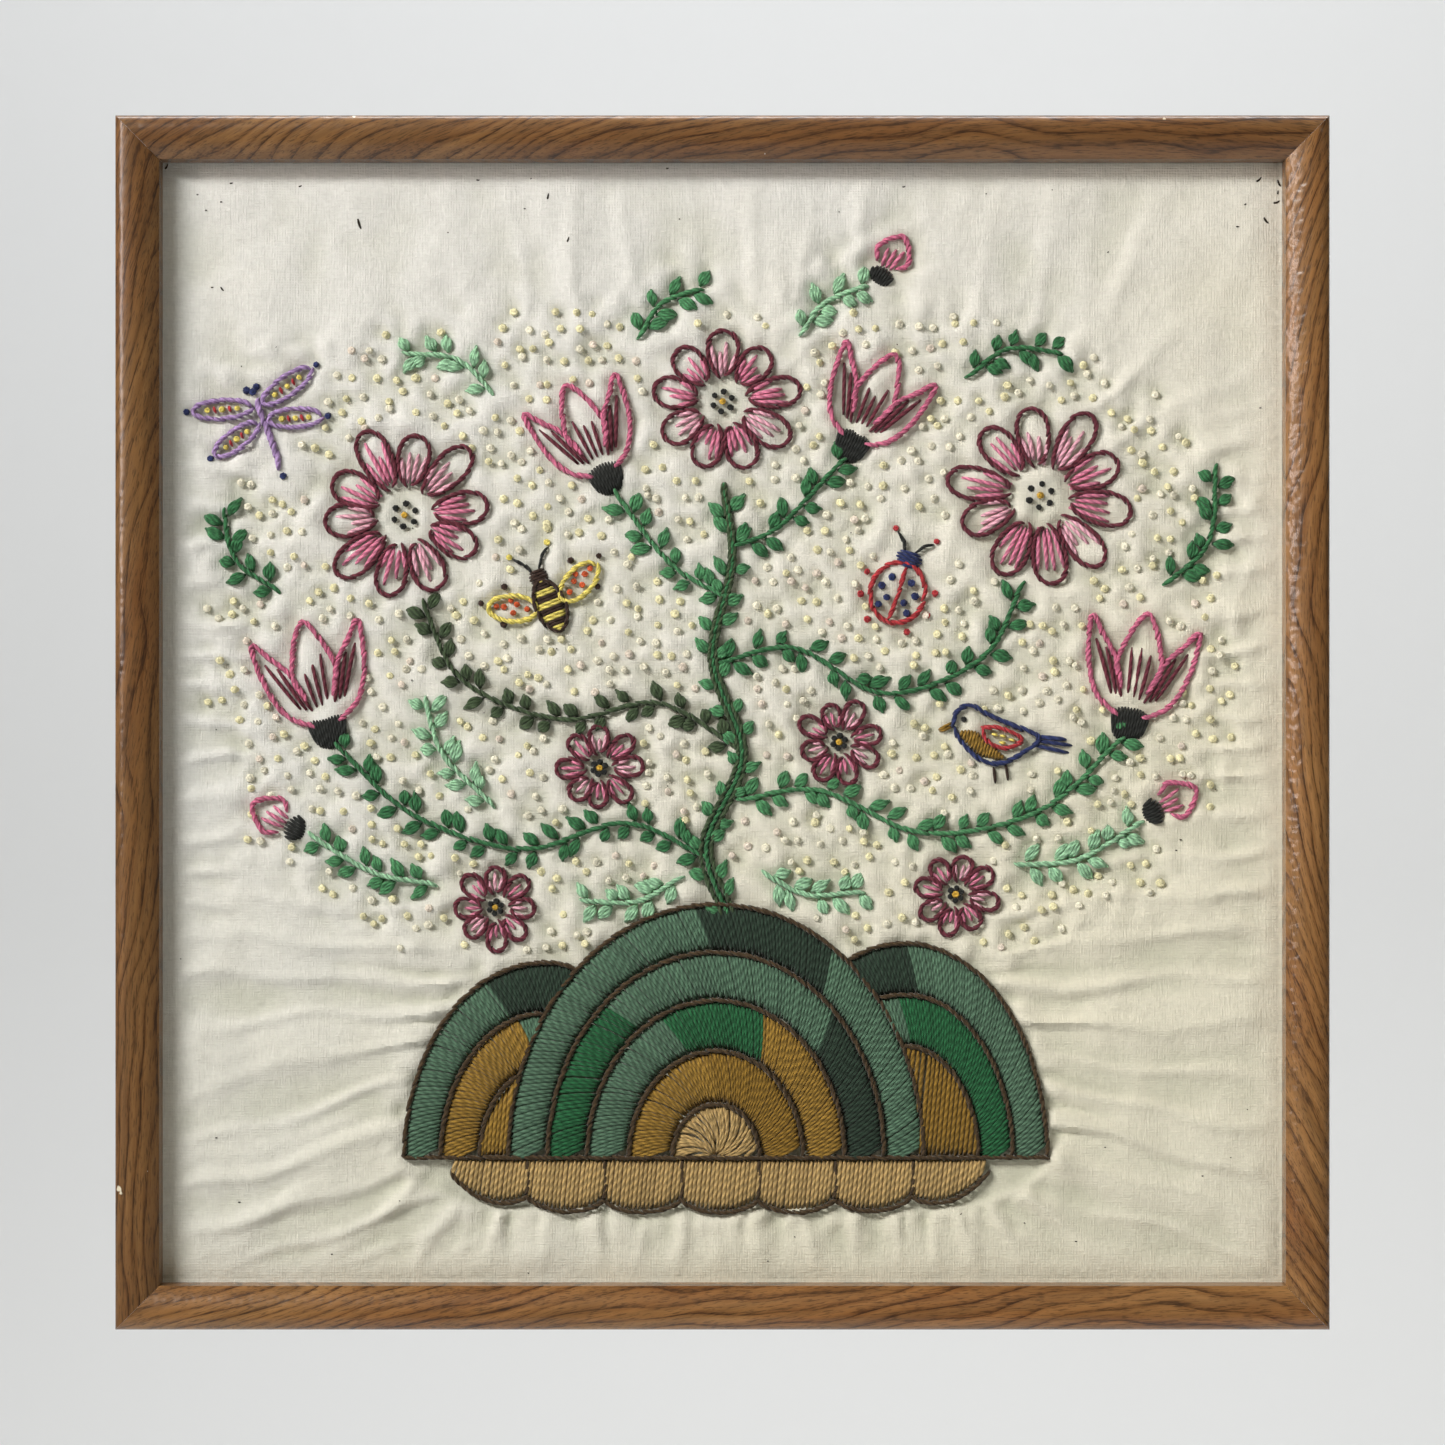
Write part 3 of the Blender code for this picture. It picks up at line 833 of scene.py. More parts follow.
def bee(put, aim):
    """Oval body in lemon and cocoa bands, two lemon wings with orange knots, and feelers. put moves points in
    a creature's own axes to their place on the cloth."""
    body = put(oval(0, 0, 4.6, 8.2))
    stitches = banded(("lemon", "cocoa"), body, aim, band=2)
    stitches += banded(("cocoa",), put(oval(0, 9.6, 3.0, 2.6)), aim)
    stitches.append(stem_stitch("cocoa", body, width=1.8, base=0.6))
    for side in (1, -1):
        wing = oval(side * 11.0, 3.5, 7.6, 3.9, side * 24)
        inside = mirrored(((7.0, 1.7), (9.5, 4.3), (11.5, 2.3), (13.5, 5.1), (10.8, 6.1), (15.6, 6.1)), side)
        edge = mirrored(((19.6, 8.7), (15.6, 0.1), (11.0, 10.7)), side)
        feeler = line_through(put(mirrored(((1.2, 11.5), (3.0, 15.0), (5.6, 17.5)), side)))
        stitches += [stem_stitch("lemon", put(wing)), knot("orange", *put(inside).T, 0.95),
                     knot("cocoa", *put(edge).T), stem_stitch("ink_black", feeler, width=1.5),
                     knot("lemon", *put(((side * 6.3, 18.6),)).T)]
    covered.append((put(((0, 0), (9, 4), (-9, 4), (14, 6), (-14, 6), (0, 10))), 10.0))
    return stitches


def ladybird(put, aim):
    """Scarlet outline with a line down the middle, navy knots on bare cloth, a navy head and feelers."""
    stitches = [stem_stitch("scarlet", put(oval(0, 0, 8.4, 9.4)), width=2.2),
                stem_stitch("scarlet", line_through(put(((0, -9), (0.3, 0), (0, 9)))), width=1.9)]
    for side in (1, -1):
        spots = mirrored(((3.2, 4.2), (5.4, 0.6), (2.8, -2.4), (4.6, -5.2)), side)
        rim = mirrored(((11.0, 3.4), (10.8, -3.8), (6.4, -10.6)), side)
        feeler = line_through(put(mirrored(((1.6, 13.0), (3.2, 15.8), (5.8, 17.8)), side)))
        stitches += [knot("navy", *put(spots).T, 1.15), knot("scarlet", *put(rim).T),
                     stem_stitch("ink_black", feeler, width=1.5),
                     knot("scarlet", *put(((side * 6.6, 18.8),)).T, 0.95)]
    stitches += banded(("navy",), put(oval(0, 11.0, 4.2, 2.6)), aim)
    covered.append((put(((0, 0), (0, 9), (0, 15), (4, 17), (-4, 17))), 12.0))
    return stitches


def dragonfly(put, aim):
    """Long lilac body with a navy tip, and four slim lilac wings with lemon and scarlet inside."""
    stitches = [stem_stitch("lilac", line_through(put(((0, 6), (0.4, -6), (0, -17)))), width=2.8),
                knot("navy", *put(((0, 8.4), (-1.6, 9.6), (1.6, 9.6), (0, -19.2))).T, 1.15)]
    for side in (1, -1):
        for up, tilt, reach in ((4.0, 16, 9.2), (-1.4, -16, 8.2)):
            turn = math.radians(tilt)
            centre = np.array((side * (reach + 1.4), up + math.sin(turn) * reach))
            ahead = np.array((side * math.cos(turn), math.sin(turn)))
            dots = [centre + ahead * part * reach for part in (-0.5, 0.0, 0.5)]
            dashes = np.array([centre + ahead * part * reach for part in (-0.25, 0.25)])
            stitches += [stem_stitch("lilac", put(oval(*centre, reach, 2.9, side * tilt)), width=2.0),
                         knot("lemon", *put(dots).T, 0.9),
                         straight("scarlet", put(dashes - (0, 0.9)), put(dashes + (0, 0.9))),
                         knot("navy", *put((centre + ahead * (reach + 1.9),)).T, 1.05)]
    covered.append((put(((0, 9), (0, -6), (0, -17), (10, 6), (-10, 6), (10, -4), (-10, -4))), 9.5))
    return stitches


def bird(put, aim):
    """A small perched bird: navy outline, mustard breast, scarlet wing, and a tail of long stitches."""
    outline = ((-11, 5), (-9, 9.5), (-4, 10.5), (1, 6), (8, 1), (14, -4), (8, -7.5), (1, -9), (-5, -6.5),
               (-9.5, 0), (-11, 5))
    breast = ((-9.4, 3.4), (-5, 3.0), (-1.5, -2), (2, -7.5), (-4.4, -5.6), (-8.6, 0), (-9.4, 3.4))
    wing = ((-2.6, 3), (3, 1.6), (9, -3.2), (3.4, -4.8), (-1.6, -1.6), (-2.6, 3))
    marks = np.array(((0.2, 0.4), (2.6, -0.6), (2.0, -2.6), (5.0, -2.4)))
    roots, tips = ((13.4, -3.4), (13.0, -4.6), (12.0, -5.8)), ((22.5, -6.5), (23.5, -8.6), (22.0, -10.6))
    stitches = banded(("mustard",), put(line_through(breast)), aim + 65, top=0.6)
    stitches += [stem_stitch("navy", put(line_through(outline))),
                 stem_stitch("scarlet", put(line_through(wing)), width=1.9, base=0.5),
                 straight("lemon", put(marks), put(marks + (1.6, -0.7))),
                 straight("navy", put(roots), put(tips), radius=0.7),
                 straight("ochre", put(((-11.2, 6.6), (-11.4, 5.4))), put(((-15.4, 5.4), (-15.2, 4.8))),
                          radius=0.55),
                 straight("cocoa", put(((-1.6, -9.6), (2.2, -9.6))), put(((-2.2, -14.5), (1.8, -14.5)))),
                 knot("ink_black", *put(((-7.2, 6.8),)).T, 0.8)]
    covered.append((put(((-8, 6), (0, 0), (8, -3), (16, -6), (22, -8), (0, -12))), 9.0))
    return stitches


creatures = []
for draw, x, z, aim in ((bee, -53, 36, 22), (ladybird, 54, 40, -18), (dragonfly, -142, 94, 20),
                        (bird, 83, -4, 13)):
    creatures += draw(functools.partial(turned, x=x, z=z, aim=aim), aim)
sew("creatures", creatures)


# Seeding: French knots of pale yellow, cream and pinkish wool scattered round the motifs, about 6 mm apart,
# each drawing the cloth down into a small dimple.

for wool, colour in (("pale_yellow", "#E1DCB4"), ("cream", "#E2DFCC"), ("blush", "#DBD0C3")):
    # The knots' wool gets only faint painted shade in its grooves, at 0.92.
    wools[wool] = dyed_wool(wool, colour, 0.92)
SEED_PITCH = 6.1
SEED_HALF = (158.0, 104.0)
SEED_MIDDLE = (0.0, 26.0)


def seed_places():
    """A staggered grid shifted at random by up to a third of its pitch, kept inside a rounded box and clear
    of the motifs."""
    columns = np.arange(-165, 166, SEED_PITCH)
    rows = np.arange(-90, 140, SEED_PITCH * 0.866)
    x, z = np.meshgrid(columns, rows)
    x = x + 0.5 * SEED_PITCH * (np.arange(len(rows)) % 2)[:, None]
    x, z = (grid.ravel() + rng.uniform(-0.34, 0.34, grid.size) * SEED_PITCH for grid in (x, z))
    edge = abs((x - SEED_MIDDLE[0]) / SEED_HALF[0]) ** 3 + abs((z - SEED_MIDDLE[1]) / SEED_HALF[1]) ** 3
    keep = edge < rng.uniform(0.82, 1.05, x.size)
    for points, clearance in covered:
        gap = np.hypot(x[:, None] - points[:, 0], z[:, None] - points[:, 1]).min(axis=1)
        keep &= gap > clearance - 1.6
    return x[keep], z[keep]


seed_x, seed_z = seed_places()
choice = rng.random(len(seed_x)) + 0.25 * (np.hypot(seed_x, seed_z) < 55)
seeding = []
for wool, low, high in (("pale_yellow", 0.0, 0.50), ("cream", 0.50, 0.95), ("blush", 0.95, 2.0)):
    chosen = (choice >= low) & (choice < high)
    seeding.append(knot(wool, seed_x[chosen], seed_z[chosen], size=1.18))
sew("seeding_knots", seeding, sides=5)


# Ground cloth, finished: the same cotton with every stitch's small dimple in it. The weave is plain, cream
# and matt, with painted shade that makes it darker and greener in the troughs, yellower to the lower right,
# with a few slubs.

CLOTH_CELLS = 300
CLOTH_BACK = 4.8
DEEPEST_DIMPLE = 1.2
CRINKLE = 0.38
CRINKLE_WIDE = 2.0
GATHER_WIDE = 7.0
UNDER_FILLING = 1.1
WEAVE_PITCH = 0.8


def dimples():
    """Pull of all the stitches on the cloth's grid: each a bell of its own depth, laid down by spreading the
    points of one width through a Fourier transform; neighbours ease each other off by limit tanh(total /
    limit). A smoothed random field crinkles the cloth where many stitches draw it."""
    cell = CLOTH_SIDE / CLOTH_CELLS
    points = np.concatenate(pulls)
    column, row = ((points[:, i] + CLOTH_SIDE / 2) / cell for i in (0, 1))
    waves = np.fft.fftfreq(CLOTH_CELLS + 1, cell)[:, None] ** 2 + np.fft.rfftfreq(CLOTH_CELLS + 1, cell) ** 2
    total = 0
    for width in np.unique(points[:, 3]):
        grid = np.zeros((CLOTH_CELLS + 1, CLOTH_CELLS + 1))
        for beside in (0, 1):
            for above in (0, 1):
                share = abs(1 - beside - column % 1) * abs(1 - above - row % 1) * points[:, 2]
                chosen = points[:, 3] == width
                place = ((row // 1).astype(int) + above)[chosen], ((column // 1).astype(int) + beside)[chosen]
                np.add.at(grid, place, share[chosen])
        bell = np.exp(-2 * math.pi ** 2 * width ** 2 * waves) * 2 * math.pi * width ** 2 / cell ** 2
        total = total + np.fft.irfft2(np.fft.rfft2(grid) * bell, s=grid.shape)
    near, fine = (np.exp(-2 * math.pi ** 2 * wide ** 2 * waves) for wide in (GATHER_WIDE, CRINKLE_WIDE))
    drawn = np.fft.irfft2(np.fft.rfft2(total) * near, s=total.shape)
    noise = np.fft.rfft2(rng.standard_normal(total.shape))
    rough = np.fft.irfft2(noise * (fine - 0.8 * near), s=total.shape)
    crinkle = CRINKLE * rough / rough.std() * np.clip(drawn / 0.25, 0.2, 1.0)
    return DEEPEST_DIMPLE * np.tanh(total / DEEPEST_DIMPLE) + crinkle


def plain_cotton():
    """Cream cotton: the weave is drawn twice as coarse as it is, so that it shows, as a sine on both axes of
    the map in mm, with slubs drawn out along both threads, soft blotches, and a line of grey dust inside the
    right and lower edges."""
    material, shader, add = new_material("plain_weave_cotton")
    flat = add("UVMap", uv_map="flat")
    axes = add("SeparateXYZ", flat).node.outputs
    right, up = axes["X"], axes["Y"]
    waves = [add("Math", axis, 2 * math.pi / WEAVE_PITCH, operation="MULTIPLY") for axis in (right, up)]
    weave = add("Math", *(add("Math", wave, operation="SINE") for wave in waves), operation="ADD")
    drawn = [add("Mapping", flat, Scale=scale) for scale in ((0.28, 1.35, 1.0), (1.35, 0.28, 1.0))]
    slub = add("Math", *(add("TexNoise", Vector=thread, Scale=1.0, Detail=3.0, Roughness=0.6)
                         for thread in drawn), operation="ADD")
    blotch, aged, dust, gaps = (add("TexNoise", Vector=flat, Scale=scale, Detail=detail, Roughness=0.6)
                                for scale, detail in ((0.30, 4.0), (0.012, 3.0), (0.5, 6.0), (0.045, 3.0)))
    corner = add("MapRange", add("Math", right, up, operation="SUBTRACT"), -160.0, 320.0, 0.0, 1.0)
    body = add("ValToRGB", add("Math", aged, 0.6, corner, operation="MULTIPLY_ADD"))
    for stop, position, colour in zip(body.node.color_ramp.elements, (0.3, 1.0), ("#E3E4E1", "#E5E2D1")):
        stop.position, stop.color = position, linear(colour)
    # Painted shade: the cloth is mixed towards a darker grey-green as far as it lies sunk below the lip's
    # plane, in the troughs and the stitches' dimples.
    depth = add("Attribute", attribute_name="depth", out="Fac")
    shaded_trough = add("Mix", data_type="RGBA", Factor=depth, A=body, B=linear("#BBBEA8"), out=2)
    edge = add("Math", add("Math", SIGHT_HALF, right, operation="SUBTRACT"),
               add("Math", SIGHT_HALF, up, operation="ADD"), operation="MINIMUM")
    line = add("Math", add("MapRange", edge, 0.7, 1.3, 0.0, 1.0), add("MapRange", edge, 1.6, 5.5, 1.0, 0.0),
               operation="MULTIPLY")
    patchy = add("Math", add("MapRange", dust, 0.30, 0.75, 0.08, 0.55),
                 add("MapRange", gaps, 0.36, 0.62, 0.35, 1.0), operation="MULTIPLY")
    soiled = add("Mix", data_type="RGBA", Factor=add("Math", line, patchy, operation="MULTIPLY"), A=shaded_trough,
                 B=linear("#8B8878"), out=2)
    shade = add("Math", add("MapRange", slub, 0.78, 1.22, 0.945, 1.035),
                add("MapRange", blotch, 0.3, 0.7, 0.955, 1.025), operation="MULTIPLY")
    tint = add("VectorMath", soiled, Scale=shade, operation="SCALE")
    height = add("Math", slub, 4.0, add("Math", weave, 0.3, operation="MULTIPLY"), operation="MULTIPLY_ADD")
    height = add("Math", height, add("Math", blotch, 4.0, operation="MULTIPLY"), operation="ADD")
    bump = add("Bump", Height=height, Strength=0.4, Distance=0.00018)
    wire(shader, {"Base Color": tint, "Normal": bump, "Roughness": 0.9, "Specular IOR Level": 0.2,
                  "Sheen Weight": 0.08})
    return material


def stretched_cloth():
    """A square grid at y = -(front + height), its height the folds and fans of cloth_top less the dimples,
    closed by four narrow edges and a flat back against the board."""
    ticks = np.linspace(-CLOTH_SIDE / 2, CLOTH_SIDE / 2, CLOTH_CELLS + 1)
    x, z = np.meshgrid(ticks, ticks)
    height = cloth_top(x, z) - dimples() * inside_fade(x, z)
    height -= UNDER_FILLING * np.clip(-0.5 * beyond_mounds(x, z), 0.0, 1.0)
    height = np.maximum(height, CLOTH_BACK + 0.5 - CLOTH_FRONT)
    index = np.arange(x.size).reshape(x.shape)
    faces = np.stack((index[:-1, :-1], index[:-1, 1:], index[1:, 1:], index[1:, :-1]), axis=-1).reshape(-1, 4)
    rim = np.concatenate((index[0, :-1], index[:-1, -1], index[-1, :0:-1], index[:0:-1, 0]))
    behind = x.size + np.arange(len(rim))
    walls = np.stack((np.roll(rim, -1), rim, behind, np.roll(behind, -1)), axis=-1)
    flat = np.concatenate((np.column_stack((x.ravel(), z.ravel())),
                           np.column_stack((x.ravel()[rim], z.ravel()[rim]))))
    forward = np.concatenate((CLOTH_FRONT + height.ravel(), np.full(len(rim), CLOTH_BACK)))
    mesh = bpy.data.meshes.new("embroidery_ground")
    mesh.from_pydata(np.column_stack((flat[:, 0] * MM, -forward * MM, flat[:, 1] * MM + CENTRE_Z)), [],
                     faces.tolist() + walls.tolist() + [behind[::-1].tolist()])
    corner = np.empty(len(mesh.loops), np.int32)
    mesh.loops.foreach_get("vertex_index", corner)
    mesh.uv_layers.new(name="flat").data.foreach_set("uv", flat[corner].ravel())
    # Painted shade: how deep each point lies sunk, which darkens and greens the cloth's colour there.
    trough_shade = np.concatenate((np.clip(-0.35 * height, 0.0, 0.5).ravel(), np.zeros(len(rim))))
    mesh.attributes.new("depth", "FLOAT", "POINT").data.foreach_set("value", trough_shade)
    mesh.materials.append(plain_cotton())
    mesh.shade_smooth()
    mesh.set_sharp_from_angle(angle=math.radians(60))
    return mesh


ground = placed("embroidery_ground", stretched_cloth())
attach(ground, "root")
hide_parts("embroidered_cloth")


# Dirt on the cloth: dark specks and short fibres of lint that lie loose on it, most of them near the top
# corners and some at the other edges.

wools["lint"] = dyed_wool("lint", "#2B2219")

# x, z, length and direction in degrees of the larger ones
SPECKS = (
    (165.3, 167.2, 2.0, 40), (171.6, 166.0, 2.2, -65), (171.2, 163.3, 1.2, 80), (170.8, 160.3, 2.0, 20),
    (167.6, 154.5, 2.3, -50), (158.7, 152.8, 0.9, 0), (161.1, 159.7, 0.7, 30), (-151.4, 166.2, 0.9, 10),
    (-154.5, 160.4, 0.7, 0), (-159.2, 157.9, 0.6, 0), (-130.2, 165.3, 1.0, 20), (-161.8, 162.7, 0.6, 0),
    (-157.3, 134.1, 0.8, 0), (-154.2, 133.5, 1.5, -50), (-137.8, 115.6, 1.1, 25), (-111.9, 153.3, 3.2, -72),
    (-75.4, 167.2, 1.0, 0), (-53.8, 161.9, 1.8, 80), (-47.6, 148.6, 1.6, 70), (-17.0, 170.8, 0.8, 0),
    (55.9, 165.2, 1.0, 10), (-84.6, 151.0, 0.5, 0), (-61.0, 158.4, 0.6, 0), (165.8, 97.0, 0.6, 0),
    (141.3, -36.2, 0.7, 0), (139.9, -39.4, 0.6, 0), (-149.0, -148.0, 0.7, 0), (-156.0, -128.0, 0.6, 0),
    (109.0, -160.0, 0.6, 0), (73.5, -151.5, 0.8, 40), (-171.4, 171.2, 1.8, 60), (118.0, -131.0, 0.5, 0),
    (-120.4, -163.9, 0.7, 0), (14.0, -166.0, 0.5, 0), (148.0, -139.8, 0.6, 0),
)
x, z, long, aim = np.array(SPECKS, float).T
small = rng.uniform(-1, 1, (70, 2)) * 170
small = small[(abs(small).max(axis=1) > 150) | (rng.random(70) < 0.25)]
middles = np.vstack((np.column_stack((x, z)), small))
long = np.append(long, rng.uniform(0.3, 0.5, len(small)))
aim = np.radians(np.append(aim, rng.uniform(0, 180, len(small))))
half = 0.5 * long[:, None] * np.column_stack((np.cos(aim), np.sin(aim)))
flat = middles[:, None] + half[:, None] * np.linspace(-1, 1, 5)[:, None]
flat[..., 1] += 0.12 * long[:, None] * np.linspace(-1, 1, 5) ** 2
path = np.dstack((flat, cloth_top(flat[..., 0], flat[..., 1]) + 0.05))
thick = (0.18 + 0.08 * long)[:, None] * np.array((0.6, 1.0, 0.9, 0.8, 0.4))
sew("lint_specks", [("lint", path, thick)], sides=5)


# Oak rails: four lengths of one milled moulding, stained mid brown and satin varnished, mitred and glued.
# Open pores run along each rail, and the growth rings show as streaks and long slanting arcs.

RAIL_FACE = 13.3
RAIL_DEPTH = 18.0
LIP_BACK = 7.4
REBATE_COVER = 5.6
SHOULDER_WIDE = 4.6
SHOULDER_DROP = 3.4
INNER_DROP = 3.6
INNER_SWEEP = math.radians(46)
BACK_CHAMFER = 0.6
MITRE_GAP = 0.05
RAIL_STEPS = 60
RINGS_PER_METRE = 280.0


def moulding_section():
    """Outline of the rail as distance in from the outer side and forward from the back: two elliptical arcs
    meet at the crown, the inner one ending at the arris, with the lip and the rebate behind it."""
    shoulder_turn = np.linspace(math.pi, math.pi / 2, 17)
    shoulder = np.column_stack((SHOULDER_WIDE * (1 + np.cos(shoulder_turn)),
                                RAIL_DEPTH - SHOULDER_DROP + SHOULDER_DROP * np.sin(shoulder_turn)))
    reach = (RAIL_FACE - SHOULDER_WIDE) / math.sin(INNER_SWEEP)
    fall = INNER_DROP / (1 - math.cos(INNER_SWEEP))
    sweep = np.linspace(0, INNER_SWEEP, 21)[1:]
    slope = np.column_stack((SHOULDER_WIDE + reach * np.sin(sweep), RAIL_DEPTH - fall * (1 - np.cos(sweep))))
    strip = RAIL_FACE - REBATE_COVER
    start = ((0.0, BACK_CHAMFER), (0.0, 7.0))
    back = ((RAIL_FACE, LIP_BACK), (strip, LIP_BACK), (strip, 0.0), (BACK_CHAMFER, 0.0))
    return np.vstack((start, shoulder, slope, back))


# Slow and fine noise in the plank, in waves a metre along and across it, then detail and roughness: the drift
# of the rings, their ragged edges, where they show clearly, darker patches, pores, streaks and chipped rims
PLANK_NOISE = ((11, 22, 2, 0.5), (70, 1000, 4, 0.65), (24, 110, 2, 0.5), (9, 60, 3, 0.5), (240, 2500, 2, 0.6),
               (14, 430, 4, 0.62), (700, 900, 2, 0.5))

# The chips lie this far forward, and depth counts as little as this, so that they reach round the face
MARKS_FORWARD = 16.0
SHALLOW = 0.4


def oak(name, upright, marks, seed, lean, curve, contrast, tone, hue, uneven_coat):
    """Stained oak, in the plank's own axes with x along the rail. Growth rings 3.6 mm apart across the plank
    lie at across - x (lean + curve x), bent by the drift. Pores are short dashes that crowd beside the rings
    and in patches, and the varnish has 2 mm orange peel as strong as uneven_coat. The marks are small chips
    and specks: x and z in mm on the picture, size and colour."""
    material, shader, add = new_material(name)
    place = add("TexCoord", out="Object")
    laid = add("Mapping", place, Location=(-CENTRE_Z if upright else 0.0, seed, 0.0),
               Rotation=(0, math.pi / 2 if upright else 0, 0))
    axes = add("SeparateXYZ", laid).node.outputs
    run = axes["X"]
    slant = add("Math", run, add("Math", run, curve, lean, operation="MULTIPLY_ADD"), operation="MULTIPLY")
    across = add("Math", axes["Z"], slant, operation="SUBTRACT")
    plank = add("CombineXYZ", run, axes["Y"], across)
    drift, ragged, shown, darker, pore, streak, rim = (
        add("TexNoise", Vector=add("Mapping", plank, Scale=(long, wide, wide)), Scale=1.0, Detail=detail,
            Roughness=rough) for long, wide, detail, rough in PLANK_NOISE)
    rings = add("Math", across, RINGS_PER_METRE, add("Math", drift, 9.0, operation="MULTIPLY"),
                operation="MULTIPLY_ADD")
    year = add("Math", rings, operation="FRACT")
    shaken = add("MapRange", ragged, 0.3, 0.7, -0.17, 0.19)
    grain = add("ValToRGB", add("Math", year, shaken, operation="ADD"))
    stops = grain.node.color_ramp.elements
    stops[0].position, stops[0].color = 0.05, linear("#4C2C0F")
    stops[1].color = linear("#8C6033")
    for position, colour in ((0.13, "#7A5026"), (0.30, "#93683A"), (0.75, "#A27748")):
        stops.new(position).color = linear(colour)
    clear = add("MapRange", shown, 0.36, 0.58, 0.5 * contrast, contrast)
    calm = add("Mix", data_type="RGBA", Factor=clear, A=linear("#93693C"), B=grain, out=2)
    patch = add("MapRange", darker, 0.40, 0.70, 0.0, 0.55)
    varied = add("Mix", data_type="RGBA", blend_type="MULTIPLY", Factor=patch, A=calm, B=linear(hue), out=2)
    early = add("Math", add("MapRange", year, 0.0, 0.3, 0.10, 0.0),
                add("Math", patch, 0.07, operation="MULTIPLY"), operation="ADD")
    open_pore = add("MapRange", add("Math", pore, early, operation="SUBTRACT"), 0.34, 0.46, 0.50, 1.0)
    # The tone scales the rail's whole colour: partly the board's own tone, partly painted shade on the top
    # and left rails that face away from the light.
    streaks = add("MapRange", streak, 0.32, 0.66, 0.75 * tone, 1.15 * tone)
    tint = add("VectorMath", varied, Scale=add("Math", open_pore, streaks, operation="MULTIPLY"),
               operation="SCALE")
    facing = add("Mapping", place, Scale=(1.0, SHALLOW, 1.0))
    for x, z, size, colour in marks:
        spot = (x * MM, -SHALLOW * MARKS_FORWARD * MM, z * MM + CENTRE_Z)
        away = add("VectorMath", facing, spot, operation="DISTANCE", out="Value")
        chipped = add("Math", rim, size * MM, away, operation="MULTIPLY_ADD")
        chip = add("MapRange", chipped, 0.9 * size * MM, 1.1 * size * MM, 1.0, 0.0)
        tint = add("Mix", data_type="RGBA", Factor=chip, A=tint, B=linear(colour), out=2)
    peel = add("TexNoise", Vector=place, Scale=480.0, Detail=0.0)
    relief = add("Math", peel, 0.4, open_pore, operation="MULTIPLY_ADD")
    bump = add("Bump", Height=relief, Strength=0.35, Distance=0.0002)
    peel_bump = add("Bump", Height=peel, Strength=uneven_coat, Distance=0.00045)
    wire(shader, {"Base Color": tint, "Normal": bump, "Coat Normal": peel_bump, "Roughness": 0.52,
                  "Specular IOR Level": 0.22, "Coat Weight": 0.9, "Coat Roughness": 0.26})
    return material


def moulded_rail(name, quarter):
    """The section carried from mitre to mitre: at u from -1 to 1, x = u (half the outer side - distance in -
    half the gap), turned by quarter turns about the picture's centre."""
    section = moulding_section()
    half_outer = SIGHT_HALF + RAIL_FACE
    distance_in, forward = section.T
    reach = half_outer - distance_in - MITRE_GAP / math.sqrt(2)
    u = np.linspace(-1, 1, RAIL_STEPS + 1)[:, None]
    x = u * reach
    z = np.broadcast_to(half_outer - distance_in, x.shape)
    y = np.broadcast_to(-forward, x.shape)
    turn = -quarter * math.pi / 2
    world = np.stack((x * math.cos(turn) - z * math.sin(turn), y, x * math.sin(turn) + z * math.cos(turn)),
                     axis=-1) * MM
    world[..., 2] += CENTRE_Z
    index = np.arange(x.size).reshape(x.shape)
    beyond = np.roll(index, -1, axis=1)
    walls = np.stack((index[:-1], beyond[:-1], beyond[1:], index[1:]), axis=-1).reshape(-1, 4)
    faces = walls.tolist() + [index[0, ::-1].tolist(), index[-1].tolist()]
    mesh = bpy.data.meshes.new(name)
    mesh.from_pydata(world.reshape(-1, 3), [], faces)
    mesh.shade_smooth()
    mesh.set_sharp_from_angle(angle=math.radians(32))
    return mesh


# Rail, its quarter turn, and its plank: seed, lean and curve of the figure, contrast, tone, darker tint and
# how uneven the varnish is. The tone is partly each board's own and partly painted shade: the top and left
# rails, which face away from the light, are made darkest.
RAILS = (
    ("top", 0, 0.13, 0.24, -1.10, 0.86, 0.70, "#B88A54", 0.30),
    ("right", 1, 1.71, 0.12, -1.40, 0.84, 0.92, "#CFA77E", 0.75),
    ("bottom", 2, 2.37, 0.18, -0.50, 0.86, 1.02, "#CDA072", 0.25),
    ("left", 3, 3.09, -0.15, -0.45, 0.80, 0.70, "#CBA482", 0.40),
)

# Pale chips and dark specks of each rail: x, z, size and colour
MARKS = {
    "top": ((-112.6, 185.0, 0.9, "#D8CDB8"), (134.9, 184.3, 1.0, "#D2C4A8"), (12.9, 173.9, 0.5, "#CFC6B4")),
    "left": ((-184.2, -142.4, 1.7, "#E2D9C2"), (-183.6, -143.6, 1.3, "#E2D9C2"),
             (-175.7, -137.1, 0.5, "#D8CDB8")),
    "bottom": ((-133.2, -177.5, 0.8, "#1E130B"), (97.5, -184.0, 0.8, "#B99A70")),
    "right": (),
}
for side, quarter, *plank in RAILS:
    rail = placed("oak_rail_" + side, moulded_rail("oak_rail_" + side, quarter))
    rail.data.materials.append(oak("stained_oak_" + side, quarter % 2 == 1, MARKS[side], *plank))
    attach(rail, "root")
    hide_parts("rail_" + side)


# Glue lines: the rails are cut at 45 degrees and glued. A thin dark film shows in each mitre, a little below
# the face of the rails: dried glue, and painted shade for the shadow down in the joint.

GLUE_INSET = 0.12
GLUE_THICK = 0.03


